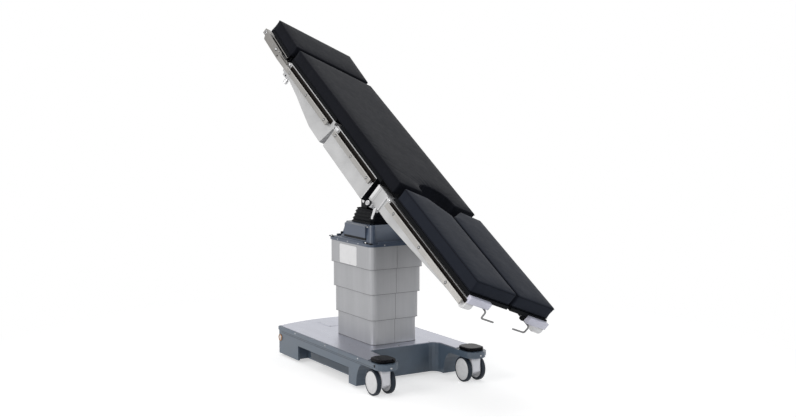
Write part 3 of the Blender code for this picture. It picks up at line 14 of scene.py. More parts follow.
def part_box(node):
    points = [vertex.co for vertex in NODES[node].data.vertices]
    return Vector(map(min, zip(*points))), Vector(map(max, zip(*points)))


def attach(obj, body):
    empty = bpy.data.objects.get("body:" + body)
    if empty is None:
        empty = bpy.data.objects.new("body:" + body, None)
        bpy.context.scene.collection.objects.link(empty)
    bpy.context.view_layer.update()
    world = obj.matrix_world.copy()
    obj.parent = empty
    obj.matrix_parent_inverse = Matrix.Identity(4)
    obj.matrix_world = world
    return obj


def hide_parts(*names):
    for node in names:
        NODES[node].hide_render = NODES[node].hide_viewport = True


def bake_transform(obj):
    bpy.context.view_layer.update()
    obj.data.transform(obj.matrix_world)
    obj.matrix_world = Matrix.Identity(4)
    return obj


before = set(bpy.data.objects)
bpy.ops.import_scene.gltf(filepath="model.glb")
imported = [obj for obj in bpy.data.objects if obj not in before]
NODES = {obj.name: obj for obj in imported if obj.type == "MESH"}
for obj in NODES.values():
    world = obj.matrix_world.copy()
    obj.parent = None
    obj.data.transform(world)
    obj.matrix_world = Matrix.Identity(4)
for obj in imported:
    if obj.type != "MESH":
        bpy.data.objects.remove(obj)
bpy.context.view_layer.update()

bl_info = {
    "name": "Operating Table",
    "version": (1, 0, 0),
    "blender": (4, 5, 0),
    "location": "View3D > Sidebar > Operating Table",
    "description": "Mattresses, fittings, finishes and studio for an operating table",
    "category": "Object",
}

SIDES = {"near": -1, "far": 1}

# The column's axis, the crossing of the tilt axes and the posture of the top
AXIS = Vector((-0.032, -0.027, 0.0))
PIVOT_HEIGHT = 0.8156
TURN = Matrix.Rotation(math.radians(31.8), 4, "Y") @ Matrix.Rotation(math.radians(-23.6), 4, "X")
SEAT = Matrix.Translation(AXIS + Vector((0, 0, PIVOT_HEIGHT))) @ TURN
PAD_TOP = 0.2538
PAD_THICK = 0.060
PAD_HALF = 0.2614


def height(depth):
    """The w of a depth below the mattress surface."""
    return PAD_TOP - depth


def hinged(u, depth, degrees):
    """The frame of a section that turns by some degrees about a hinge of the seat's frame."""
    point = Vector((u, 0, height(depth)))
    turn = Matrix.Rotation(math.radians(degrees), 4, "Y")
    return SEAT @ Matrix.Translation(point) @ turn @ Matrix.Translation(-point)


HEAD = hinged(-0.8500, 0.1040, 2.9)
LEG = hinged(0.2580, 0.1740, -0.9)
COLUMN = Matrix.Translation(AXIS)
WORLD = Matrix.Identity(4)

# Mattress ends along the top, the bay in the seat's foot edge and the chamfer of the leg mattresses
BACK_HEAD_U = -0.831
SEAT_FOOT_U = 0.320
FOLD = (-0.3185, -0.1825)
BAY_HALF = 0.112
BAY_DEPTH = 0.096
HEAD_PAD = (-1.129, -0.869)
LEG_PAD = (0.371, 1.012)
LEG_SPLIT = 0.0095
LEG_CHAMFER_V = 0.116
LEG_CHAMFER_U = 0.085

# The mattresses' rim, bead and net, and how far the cloth simulation may move a point
RIM = 0.0052
BEAD = 0.0011
NET = 0.010
MOVE = 0.0045

# Outer faces of the accessory rails, the head bars and the base, and the top of its deck
RAIL_FACE = 0.2814
RAIL_MIDDLE = 0.1095
HEAD_BAR_FACE = 0.2714
STRIP_EDGE = 0.2612
BASE_FACE = 0.290
DECK_TOP = 0.1520
SOCKET = (-0.4690, -0.2868, 0.0935)

# Where the camera stands and looks, and what the lamps are turned to
CAMERA_PLACE = (4.7018, -2.7742, 1.3137)
CAMERA_VIEW = Vector((-0.8509, 0.5160, -0.0982))
LAMP_AIM = Vector((0.0, 0.0, 0.85))


# ---------------------------------------------------------------- materials

class Value:
    """What a node gives, on which sums add their Math nodes."""

    def __init__(self, nodes, socket):
        self.nodes = nodes
        self.socket = socket

    def math(self, operation, *others):
        """A Math node on this value and others."""
        return self.nodes.node("ShaderNodeMath", {"operation": operation}, dict(enumerate((self, *others))))

    def __add__(self, other):
        return self.math("ADD", other)

    def __mul__(self, other):
        return self.math("MULTIPLY", other)

    __radd__ = __add__
    __rmul__ = __mul__

    def power(self, exponent):
        """This value to a power."""
        return self.math("POWER", exponent)

    def between(self, low, high, start=0.0, end=1.0):
        """This value mapped smoothly from low..high to start..end."""
        return self.nodes.node("ShaderNodeMapRange", {"interpolation_type": "SMOOTHSTEP"},
                               {0: self, 1: low, 2: high, 3: start, 4: end})


class Nodes:
    """A node tree with one way to add nodes and to link them."""

    def __init__(self, tree):
        self.tree = tree

    def join(self, socket, amount):
        """Put a value or a link into a socket."""
        if isinstance(amount, Value):
            self.tree.links.new(amount.socket, socket)
        elif socket.type == "RGBA":
            socket.default_value = (*amount, 1.0)
        else:
            socket.default_value = amount

    def node(self, kind, settings, inputs, output=0):
        """Add a node: its settings first, then the values or links of its sockets."""
        item = self.tree.nodes.new(kind)
        for name, setting in settings.items():
            setattr(item, name, setting)
        for socket, amount in inputs.items():
            self.join(item.inputs[socket], amount)
        return Value(self, item.outputs[output])

    def ray(self, kind):
        """Whether a ray is of one kind."""
        return self.node("ShaderNodeLightPath", {}, {}, "Is " + kind + " Ray")


class Finish(Nodes):
    """A Principled material on object coordinates, which may be turned to the axes of the table top."""

    def __init__(self, name, color, roughness, metallic=0.0, turned=False, **fixed):
        self.material = bpy.data.materials.new(name)
        self.material.use_nodes = True
        super().__init__(self.material.node_tree)
        self.shader = self.tree.nodes["Principled BSDF"]
        self.set("Base Color", color)
        self.set("Roughness", roughness)
        self.set("Metallic", metallic)
        for socket, amount in fixed.items():
            self.set("IOR" if socket == "ior" else socket.replace("_", " ").title(), amount)
        self.place = self.node("ShaderNodeTexCoord", {}, {}, "Object")
        if turned:
            angles = tuple(TURN.transposed().to_euler("XYZ"))
            self.place = self.node("ShaderNodeMapping", {}, {0: self.place, 2: angles})

    def set(self, socket, amount):
        """Give one of the shader's sockets a value, or a link to a node."""
        self.join(self.shader.inputs[socket], amount)

    def scaled(self, size, stretch=(1.0, 1.0, 1.0)):
        """Coordinates on which features of size one come out at a size, longer where the stretch is more."""
        scale = tuple(1.0 / (size * part) for part in stretch)
        return self.node("ShaderNodeMapping", {}, {0: self.place, 3: scale})

    def spots(self, size, stretch=(1.0, 1.0, 1.0), detail=3.0, rough=0.55):
        """Soft noise whose features are about size across."""
        return self.node("ShaderNodeTexNoise", {}, {"Vector": self.scaled(size, stretch), "Scale": 1.0,
                                                    "Detail": detail, "Roughness": rough})

    def cells(self, size):
        """Cell pattern whose cells are about size across."""
        return self.node("ShaderNodeTexVoronoi", {}, {"Vector": self.scaled(size), "Scale": 1.0})

    def axis(self, name):
        """One of the three object coordinates."""
        return self.node("ShaderNodeSeparateXYZ", {}, {0: self.place}, name)

    def blend(self, factor, first, second):
        """A colour between two, by a factor."""
        return self.node("ShaderNodeMix", {"data_type": "RGBA"}, {0: factor, 6: first, 7: second}, 2)

    def relief(self, *layers):
        """Bump from layers of (height, strength, distance), laid one on the other."""
        below = {}
        for level, strength, distance in layers:
            inputs = {"Height": level, "Strength": strength, "Distance": distance, **below}
            below = {"Normal": self.node("ShaderNodeBump", {}, inputs)}
        self.set("Normal", below["Normal"])


def shade(color, share):
    """A colour made lighter or darker."""
    return tuple(min(1.0, part * share) for part in color)


def vinyl_finish(name, color, turned=True):
    """Black coated fabric: a fine pebble grain, broad soft dents and a worn, uneven sheen."""
    made = Finish(name, color, 0.42, turned=turned)
    grain = made.cells(0.0021)
    fine = made.spots(0.0011, detail=2.0)
    dents = made.spots(0.085, detail=4.0, rough=0.5)
    rub = made.spots(0.030, detail=5.0, rough=0.6)
    made.set("Base Color", made.blend(dents.between(0.30, 0.72), shade(color, 0.95), shade(color, 1.06)))
    made.set("Roughness", rub.between(0.25, 0.75, 0.42, 0.48))
    made.set("IOR", 1.085)
    made.relief((dents, 0.05, 0.003), (grain, 0.20, 0.0004), (fine, 0.12, 0.0002))
    return made.material


def paint_finish(name, color, roughness, coat, turned=False, flake=0.0, metallic=0.0):
    """Sprayed paint: orange peel, faint clouding and dust, with metal flake where asked."""
    made = Finish(name, color, roughness, metallic, turned=turned, coat_weight=coat, coat_roughness=0.12)
    cloud = made.spots(0.12, detail=4.0)
    peel = made.spots(0.0035, detail=2.0, rough=0.4)
    grain = made.spots(0.0006, detail=1.0)
    low, high = shade(color, 0.93 - flake * 0.5), shade(color, 1.06 + flake * 0.5)
    mask = cloud * 0.6 + grain * 0.4 if flake else cloud
    made.set("Base Color", made.blend(mask.between(0.32, 0.68), low, high))
    made.set("Roughness", cloud.between(0.3, 0.7, roughness * 0.88, roughness * 1.14))
    made.relief((peel, 0.10, 0.0008), (grain, 0.05, 0.0002))
    return made.material


def brushed_finish(name, color, roughness, along, turned=False, contrast=0.14, metallic=1.0):
    """Brushed steel: long fine scratches along one axis, slow tone changes and faint handling marks."""
    made = Finish(name, color, roughness, metallic, turned=turned)
    stretch = [0.0009, 0.0009, 0.0009]
    stretch[along] = 0.16
    lines = made.spots(1.0, stretch=stretch, detail=3.0, rough=0.6)
    slow = [0.05, 0.05, 0.05]
    slow[along] = 0.6
    bands = made.spots(1.0, stretch=slow, detail=3.0)
    marks = made.spots(0.05, detail=5.0, rough=0.65)
    mask = lines * 0.55 + bands * 0.45
    low, high = shade(color, 1 - contrast), shade(color, 1 + contrast * 0.7)
    made.set("Base Color", made.blend(mask.between(0.34, 0.66), low, high))
    made.set("Roughness", (lines * 0.6 + marks * 0.4).between(0.3, 0.7, roughness * 0.8, roughness * 1.25))
    made.relief((lines, 0.10, 0.0003))
    return made.material


def cast_finish(name, color, roughness, metallic=0.0, grain=0.0012, depth=0.0004, turned=False, spread=0.12,
                ior=1.45):
    """Moulded rubber, plastic or powder coat: an even fine texture with soft wear."""
    made = Finish(name, color, roughness, metallic, turned=turned, ior=ior)
    skin = made.spots(grain, detail=2.0)
    wear = made.spots(0.04, detail=5.0, rough=0.6)
    low, high = shade(color, 1 - spread), shade(color, 1 + spread)
    made.set("Base Color", made.blend(wear.between(0.3, 0.7), low, high))
    made.set("Roughness", wear.between(0.3, 0.7, roughness * 0.9, min(1.0, roughness * 1.12)))
    made.relief((skin, 0.35, depth))
    return made.material


def chrome_finish(name, color, roughness, turned=False):
    """Bright plated steel with fingerprints and tiny pits."""
    made = Finish(name, color, roughness, 1.0, turned=turned)
    smear = made.spots(0.012, detail=5.0, rough=0.65)
    pits = made.spots(0.0008, detail=1.0)
    made.set("Base Color", made.blend(smear.between(0.35, 0.7), shade(color, 0.9), color))
    made.set("Roughness", smear.between(0.3, 0.75, roughness * 0.7, roughness * 1.9))
    made.relief((pits, 0.05, 0.0001))
    return made.material


def wheel_finish(name, color):
    """The moulded discs of the caster wheels: a fine skin with small scuffs."""
    made = Finish(name, color, 0.35)
    wear = made.spots(0.010, detail=5.0)
    skin = made.spots(0.0010, detail=2.0)
    made.set("Base Color", made.blend(wear.between(0.3, 0.7), shade(color, 0.94), color))
    made.set("Roughness", wear.between(0.3, 0.7, 0.30, 0.42))
    made.relief((skin, 0.20, 0.0002))
    return made.material


FINISH = {}


def make_finishes(look):
    """Make every finish once, from the panel's colours."""
    rgb = {key: tuple(getattr(look, key)) for key in ("slate", "steel", "rail", "silver", "vinyl", "white",
                                                      "frame_black", "chrome")}
    FINISH["slate"] = paint_finish("slate_paint_finish", rgb["slate"], 0.36, 0.20)
    FINISH["hood"] = paint_finish("hood_paint_finish", (0.060, 0.082, 0.126), 0.34, 0.12)
    FINISH["column"] = brushed_finish("column_steel_finish", shade(rgb["steel"], 1.12), 0.42, 2, contrast=0.07,
                                      metallic=0.5)
    FINISH["deck"] = brushed_finish("deck_steel_finish", (0.470, 0.482, 0.550), 0.32, 0, contrast=0.05)
    # Dark steel for sheet seams and grooves, also used as painted shadow for the column's hem lines
    FINISH["seam_and_shadow_line"] = cast_finish("sheet_seam_and_shadow_finish", shade(rgb["steel"], 0.45), 0.5, 0.6)
    FINISH["rack"] = cast_finish("toothed_strip_finish", (0.016, 0.0125, 0.0105), 0.45, 0.3, turned=True,
                                 ior=1.25)
    FINISH["screw"] = chrome_finish("dull_screw_finish", shade(rgb["chrome"], 0.50), 0.36, True)
    FINISH["bracket"] = paint_finish("foot_bracket_finish", (0.66, 0.66, 0.77), 0.36, 0.20, True)
    FINISH["head_bar"] = brushed_finish("head_bar_finish", (0.272, 0.263, 0.250), 0.34, 0, True)
    # Darker slate for the base's side lines: a parting line, painted shadow under the lip and painted shade of
    # the near side's recess
    FINISH["painted_shade_slate"] = paint_finish("painted_recess_shade_finish", shade(rgb["slate"], 0.42), 0.50, 0.0)
    FINISH["caster"] = cast_finish("caster_housing_finish", (0.90, 0.90, 0.94), 0.34, 0.0, 0.0012, 0.0002,
                                   spread=0.03)
    FINISH["bumper"] = cast_finish("bumper_rubber_finish", (0.0045, 0.0045, 0.0065), 0.22, 0.0, 0.0016, 0.0002,
                                   ior=1.13)
    FINISH["crank"] = chrome_finish("release_crank_finish", shade(rgb["chrome"], 0.28), 0.32, True)
    FINISH["end_cap"] = cast_finish("end_cap_finish", rgb["white"], 0.34, 0.0, 0.0012, 0.0002, True, 0.03)
    FINISH["bronze"] = chrome_finish("bronze_ring_finish", (0.36, 0.21, 0.12), 0.30)
    FINISH["rail"] = brushed_finish("rail_steel_finish", rgb["rail"], 0.34, 0, True)
    FINISH["silver"] = paint_finish("silver_paint_finish", rgb["silver"], 0.38, 0.25, True, 0.10, 0.25)
    FINISH["frame"] = cast_finish("frame_black_finish", rgb["frame_black"], 0.46, 0.0, 0.0011, 0.0003, True,
                                  ior=1.12)
    FINISH["guide"] = cast_finish("guide_black_finish", rgb["frame_black"], 0.46, 0.0, ior=1.20)
    FINISH["vinyl"] = vinyl_finish("mattress_vinyl_finish", rgb["vinyl"])
    # A lighter, bluer copy of the mattress vinyl for the leg sections: painted light
    FINISH["leg_vinyl_painted_light"] = vinyl_finish("leg_mattress_vinyl_painted_light_finish", (0.0205, 0.0240, 0.0335))
    FINISH["seam"] = vinyl_finish("mattress_seam_finish", shade(rgb["vinyl"], 0.8))
    FINISH["gaiter"] = cast_finish("gaiter_rubber_finish", (0.0046, 0.0052, 0.0072), 0.50, 0.0, 0.0016, 0.0004,
                                   ior=1.15)
    FINISH["tyre"] = cast_finish("tyre_rubber_finish", (0.020, 0.027, 0.038), 0.48, 0.0, 0.0016, 0.0003,
                                 ior=1.30)
    FINISH["plate"] = cast_finish("label_plate_finish", rgb["white"], 0.30, 0.0, 0.0009, 0.0001, spread=0.03)
    FINISH["chrome"] = chrome_finish("chrome_finish", rgb["chrome"], 0.16, True)
    FINISH["bolt"] = chrome_finish("bolt_finish", shade(rgb["chrome"], 0.66), 0.24)
    FINISH["wheel"] = wheel_finish("wheel_finish", rgb["white"])


def node_finish(node):
    """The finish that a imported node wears."""
    rules = (("base_shell", "slate"), ("column_hood", "hood"), ("base_deck", "deck"),
             ("column_cover", "column"), ("column_head", "guide"), ("lift_guide", "guide"),
             ("gaiter", "gaiter"), ("bumper", "bumper"), ("wheel", "tyre"), ("caster", "caster"),
             ("_rail_", "rail"), ("head_side_bar", "head_bar"), ("side_cover", "silver"),
             ("hinge_block", "silver"), ("_frame", "frame"), ("_pad", "vinyl"), ("trunnion", "chrome"),
             ("knob", "chrome"), ("lever", "chrome"), ("handle", "crank"), ("spring", "chrome"))
    for part, key in rules:
        if part in node:
            return FINISH[key]
    raise RuntimeError("no finish for " + node)


# ---------------------------------------------------------------- building pieces

def finished(name, bm, finish, place, body=None, sharp=35.0):
    """Turn a bmesh into a piece: placed, shaded, finished, and riding on its body."""
    bmesh.ops.remove_doubles(bm, verts=bm.verts, dist=0.00001)
    bmesh.ops.recalc_face_normals(bm, faces=bm.faces)
    bmesh.ops.transform(bm, matrix=place, verts=bm.verts)
    if place.determinant() < 0:
        bmesh.ops.reverse_faces(bm, faces=bm.faces)
    mesh = bpy.data.meshes.new(name)
    bm.to_mesh(mesh)
    bm.free()
    mesh.shade_smooth()
    mesh.set_sharp_from_angle(angle=math.radians(sharp))
    piece = bpy.data.objects.new(name, mesh)
    bpy.context.scene.collection.objects.link(piece)
    mesh.materials.append(FINISH[finish])
    if body:
        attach(piece, body)
    return piece


def round_edges(bm, edges, width, segments, **more):
    """Bevel edges to a round."""
    bmesh.ops.bevel(bm, geom=edges, offset=width, segments=segments, profile=0.5, affect="EDGES", material=-1,
                    **more)


def push_out(bm, faces, way):
    """Extrude faces along a vector."""
    made = bmesh.ops.extrude_face_region(bm, geom=faces)
    ends = [item for item in made["geom"] if isinstance(item, bmesh.types.BMVert)]
    bmesh.ops.translate(bm, verts=ends, vec=way)


def add_block(bm, low, high, edge=0.0, segments=2):
    """Add a box between two corners, with rounded edges."""
    size = Vector(high) - Vector(low)
    middle = (Vector(high) + Vector(low)) / 2
    place = Matrix.Translation(middle) @ Matrix.Diagonal((*size, 1))
    made = bmesh.ops.create_cube(bm, size=1.0, matrix=place)
    if edge:
        round_edges(bm, list({item for vert in made["verts"] for item in vert.link_edges}), edge, segments)


def side_block(bm, side, x, out, z, edge=0.0, segments=2):
    """Add a block between two x, two distances out to a side and two heights."""
    low, high = sorted((side * out[0], side * out[1]))
    add_block(bm, (x[0], low, z[0]), (x[1], high, z[1]), edge, segments)


def top_block(bm, side, u, out, depth, edge=0.0):
    """Add a block on the table top, between two u, two distances out to a side and two depths."""
    side_block(bm, side, u, out, (height(max(depth)), height(min(depth))), edge)


def block_piece(name, finish, place, body, side, u, out, depth, edge=0.0):
    """A piece that is one block on the table top."""
    bm = bmesh.new()
    top_block(bm, side, u, out, depth, edge)
    return finished(name, bm, finish, place, body)


def add_disc(bm, middle, axis, radius, thick, sides=24, top=None):
    """Add a round disc that stands on a point and reaches along an axis."""
    axis = Vector(axis)
    place = Matrix.Translation(Vector(middle) + axis.normalized() * thick / 2)
    made = bmesh.ops.create_cone(
        bm, cap_ends=True, segments=sides, radius1=radius, radius2=radius if top is None else top, depth=thick,
        matrix=place @ axis.to_track_quat("Z", "Y").to_matrix().to_4x4())
    return made["verts"]


def add_screw(bm, point, axis, radius, proud, socket=True):
    """Add a button head screw with a rounded rim and a hexagon socket."""
    sunk = 0.0006
    axis = Vector(axis).normalized()
    verts = add_disc(bm, Vector(point) - axis * sunk, axis, radius, proud + sunk, 20, radius * 0.8)
    far = max(vert.co.dot(axis) for vert in verts)
    face = next(f for v in verts for f in v.link_faces
                if all(abs(x.co.dot(axis) - far) < 1e-6 for x in f.verts))
    round_edges(bm, list(face.edges), radius * 0.16, 2)
    if socket:
        tops = [f for f in bm.faces if abs(f.calc_center_median().dot(axis) - far) < 1e-5
                and (f.calc_center_median() - Vector(point)).length < radius * 2 and f.normal.dot(axis) > 0.9]
        face = max(tops, key=lambda f: f.calc_area())
        bmesh.ops.inset_region(bm, faces=[face], thickness=radius * 0.36)
        bmesh.ops.translate(bm, verts=face.verts, vec=-axis * min(0.0012, proud * 0.7))


def ring_profile(bm, middle, axis, profile, closed=True, steps=40):
    """Turn a profile of (radius, height) about an axis; an open profile starts and ends on the axis."""
    axis = Vector(axis).normalized()
    across = axis.orthogonal().normalized()
    middle = Vector(middle)
    points = [bm.verts.new(middle + across * radius + axis * rise) for radius, rise in profile]
    pairs = zip(points, points[1:] + points[:1] if closed else points[1:])
    edges = [bm.edges.new(pair) for pair in pairs]
    bmesh.ops.spin(bm, geom=points + edges, cent=middle, axis=axis, angle=2 * math.pi, steps=steps,
                   use_merge=True, use_duplicate=False)
    bmesh.ops.remove_doubles(bm, verts=bm.verts, dist=0.00002)


def rounded_ring(bm, half_x, half_y, radius, low, high, wall):
    """Add an upright band that follows a rectangle with rounded corners, centred on the column's axis."""
    rings = []
    for reach in (radius, radius - wall):
        ring = []
        for corner, (sx, sy) in enumerate(((1, 1), (-1, 1), (-1, -1), (1, -1))):
            x, y = sx * (half_x - radius), sy * (half_y - radius)
            for step in range(7):
                turn = math.radians(90 * corner + 15 * step)
                ring.append(bm.verts.new((x + reach * math.cos(turn), y + reach * math.sin(turn), low)))
        rings.append(ring)
    outer, inner = rings
    corners = zip(outer, outer[1:] + outer[:1], inner[1:] + inner[:1], inner)
    push_out(bm, [bm.faces.new(four) for four in corners], (0, 0, high - low))


def bay(edge_u, steps=24):
    """The rounded bay in the seat mattress's foot edge, from the far side to the near side."""
    points = []
    for step in range(steps + 1):
        turn = math.radians(90 - 180 * step / steps)
        points.append((edge_u - BAY_DEPTH * max(0.0, math.cos(turn)) ** 0.8, BAY_HALF * math.sin(turn)))
    return points


def distance_to(outline, points):
    """The distance of each plan point to an outline's nearest edge."""
    best = np.full(len(points), 9.0)
    ends = np.roll(outline, -1, axis=0)
    for start, end in zip(outline, ends):
        run = end - start
        share = np.clip(((points - start) @ run) / max(run @ run, 1e-12), 0, 1)
        best = np.minimum(best, np.linalg.norm(points - (start + share[:, None] * run), axis=1))
    return best


def mattress_net(outline, step=NET, edge=0.005):
    """A slab cut from its plan, with rounded rims, divided into a fine even net."""
    bm = bmesh.new()
    low, high = height(PAD_THICK), PAD_TOP
    face = bm.faces.new([bm.verts.new((u, v, low)) for u, v in outline])
    push_out(bm, [face], (0, 0, high - low))
    bmesh.ops.recalc_face_normals(bm, faces=bm.faces)
    sharp = [item for item in bm.edges if item.calc_face_angle(0) > math.radians(40)]
    round_edges(bm, sharp, edge, 3, clamp_overlap=True)
    cuts = []
    margin = 0.012
    for axis, normal in enumerate(((1, 0, 0), (0, 1, 0))):
        places = [point[axis] for point in outline]
        first, last = min(places) + margin, max(places) - margin
        count = max(2, round((last - first) / step))
        cuts += [(Vector(normal) * (first + (last - first) * index / count), normal)
                 for index in range(count + 1)]
    cuts += [((0, 0, w), (0, 0, 1)) for w in (low + 0.015, (low + high) / 2, high - 0.015)]
    for place, normal in cuts:
        bmesh.ops.bisect_plane(bm, geom=bm.verts[:] + bm.edges[:] + bm.faces[:], dist=0.0004,
                               plane_co=place, plane_no=normal)
    bmesh.ops.triangulate(bm, faces=[item for item in bm.faces if len(item.verts) > 4])
    return bm


def pillow(bm, outline, crown, waist, creases=(), folds=False):
    """Crown the top, pull the sides in between their corners and press in soft creases."""
    grain, unevenness, rim_fade, rim_width, fold_press = 9, 0.0011, 0.050, 0.006, 0.0030
    verts = list(bm.verts)
    places = np.array([vert.co for vert in verts])
    inside = distance_to(np.array(outline), places[:, :2])
    rise = 1.0 - np.exp(-inside / rim_fade)
    low, high = height(PAD_THICK), PAD_TOP
    share = (places[:, 2] - low) / (high - low)
    for vert, point, out, top, near in zip(verts, places, rise, share, inside):
        lift = crown * out if top > 0.93 else 0.0
        spot = Vector((point[0] * grain, point[1] * grain, 3.1))
        soft = noise.noise(spot) * unevenness * out if top > 0.93 else 0.0
        fold = 0.0
        for (cu, cv), turn, length, depth, pitch in creases:
            du, dv = point[0] - cu, point[1] - cv
            along = du * math.cos(turn) + dv * math.sin(turn)
            across = -du * math.sin(turn) + dv * math.cos(turn)
            fold += depth * math.exp(-(along / length) ** 2 - (across / (pitch * 2.2)) ** 2) * math.cos(
                2 * math.pi * across / pitch)
        vert.co.z += lift + soft + (fold if top > 0.9 else 0.0)
        if near < rim_width and 0.05 < top < 0.95:
            bulge = math.sin(math.pi * top)
            if abs(abs(point[1]) - PAD_HALF) < 0.004:
                vert.co.y -= math.copysign(waist * bulge, point[1])
            elif folds and abs(point[1]) < BAY_HALF - 0.004 and point[0] < SEAT_FOOT_U - 0.01:
                turn = math.atan2(point[1], SEAT_FOOT_U - point[0])
                press = fold_press * bulge * (0.6 + math.sin(turn * 17 + top * 2.2) * math.sin(turn * 7.3 + 1.0))
                vert.co.x -= press * math.cos(turn)
                vert.co.y += press * math.sin(turn)


def piping(path, radius, closed=True):
    """A round bead along a path, made from a curve and returned as a bmesh."""
    curve = bpy.data.curves.new("bead", "CURVE")
    curve.dimensions = "3D"
    curve.bevel_depth = radius
    curve.bevel_resolution = 1
    curve.use_fill_caps = not closed
    spline = curve.splines.new("POLY")
    spline.points.add(len(path) - 1)
    for point, place in zip(spline.points, path):
        point.co = (*place, 1)
    spline.use_cyclic_u = closed
    guide = bpy.data.objects.new("bead", curve)
    bpy.context.scene.collection.objects.link(guide)
    mesh = bpy.data.meshes.new_from_object(guide.evaluated_get(bpy.context.evaluated_depsgraph_get()))
    bm = bmesh.new()
    bm.from_mesh(mesh)
    bpy.data.objects.remove(guide, do_unlink=True)
    bpy.data.meshes.remove(mesh)
    bpy.data.curves.remove(curve)
    return bm


def dense(outline, step=0.013):
    """An outline with extra points along its straight runs."""
    points = []
    for first, second in zip(outline, outline[1:] + outline[:1]):
        count = max(1, round(math.dist(first, second) / step))
        start, run = np.array(first), np.array(second) - np.array(first)
        points += [tuple(start + run * k / count) for k in range(count)]
    return points


def settle(pad, flat, outline, loose=False):
    """Run a short cloth simulation with inner pressure, rims and underside held, and keep its result."""
    rest = np.array([vert.co for vert in pad.data.vertices])
    if len(rest) != len(flat):
        raise RuntimeError("the net of " + pad.name + " changed")
    near = distance_to(np.array(outline), flat[:, :2])
    from_top = np.abs(flat[:, 2] - PAD_TOP)
    from_low = np.abs(flat[:, 2] - height(PAD_THICK))
    rim = (near < 0.0056) & (np.minimum(from_top, from_low) < 0.0062)
    pins = pad.vertex_groups.new(name="held")
    pins.add([int(index) for index in np.flatnonzero(rim | (from_low < 0.0008))], 1.0, "REPLACE")
    ease = pad.vertex_groups.new(name="ease")
    bay_distance = np.linalg.norm(flat[:, :2] - np.array((SEAT_FOOT_U - 0.03, 0.0)), axis=1)
    for index, away in enumerate(bay_distance):
        ease.add([index], float(np.clip(1.35 - away / 0.20, 0.0, 1.0)) if loose else 0.0, "REPLACE")
    cloth = pad.modifiers.new("settle", "CLOTH")
    settings = {"quality": 5, "mass": 0.15, "tension_stiffness": 12, "compression_stiffness": 12,
                "shear_stiffness": 8, "bending_stiffness": 0.3, "use_pressure": True,
                "uniform_pressure_force": 4.0, "vertex_group_mass": "held", "vertex_group_shrink": "ease",
                "shrink_min": -0.004, "shrink_max": -0.035}
    for name, setting in settings.items():
        setattr(cloth.settings, name, setting)
    cloth.settings.effector_weights.gravity = 0.0
    cloth.point_cache.frame_start, cloth.point_cache.frame_end = 1, 20
    scene = bpy.context.scene
    for moment in range(1, 21):
        scene.frame_set(moment)
    worked = pad.evaluated_get(bpy.context.evaluated_depsgraph_get())
    move = np.array([vert.co for vert in worked.data.vertices]) - rest
    pad.modifiers.remove(cloth)
    scene.frame_set(1)
    for group in (pins, ease):
        pad.vertex_groups.remove(group)
    length = np.maximum(np.linalg.norm(move, axis=1), 1e-9)
    move *= (MOVE * np.tanh(length / MOVE) / length)[:, None]
    pad.data.vertices.foreach_set("co", (rest + move).astype(np.float32).ravel())
    pad.data.update()


def make_mattress(name, outline, place, nodes, body=None, crown=0.0022, creases=(), cover="vinyl"):
    """One padded section: a crowned slab with sewn rims and a bead along each seam."""
    bm = mattress_net(outline)
    pillow(bm, outline, crown, 0.0016, creases, bool(creases))
    flat = np.array([vert.co for vert in bm.verts])
    pad = finished(name, bm, cover, place, sharp=50)
    settle(pad, flat, outline, bool(creases))
    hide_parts(*nodes)
    rims = bmesh.new()
    for depth in (RIM, PAD_THICK - RIM):
        loop = piping([(u, v, height(depth)) for u, v in dense(outline)], BEAD)
        mesh = bpy.data.meshes.new("rim")
        loop.to_mesh(mesh)
        loop.free()
        rims.from_mesh(mesh)
        bpy.data.meshes.remove(mesh)
    seam = finished(name + "_seams", rims, "seam", place, sharp=60)
    if body:
        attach(pad, body)
        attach(seam, body)
    return pad, seam


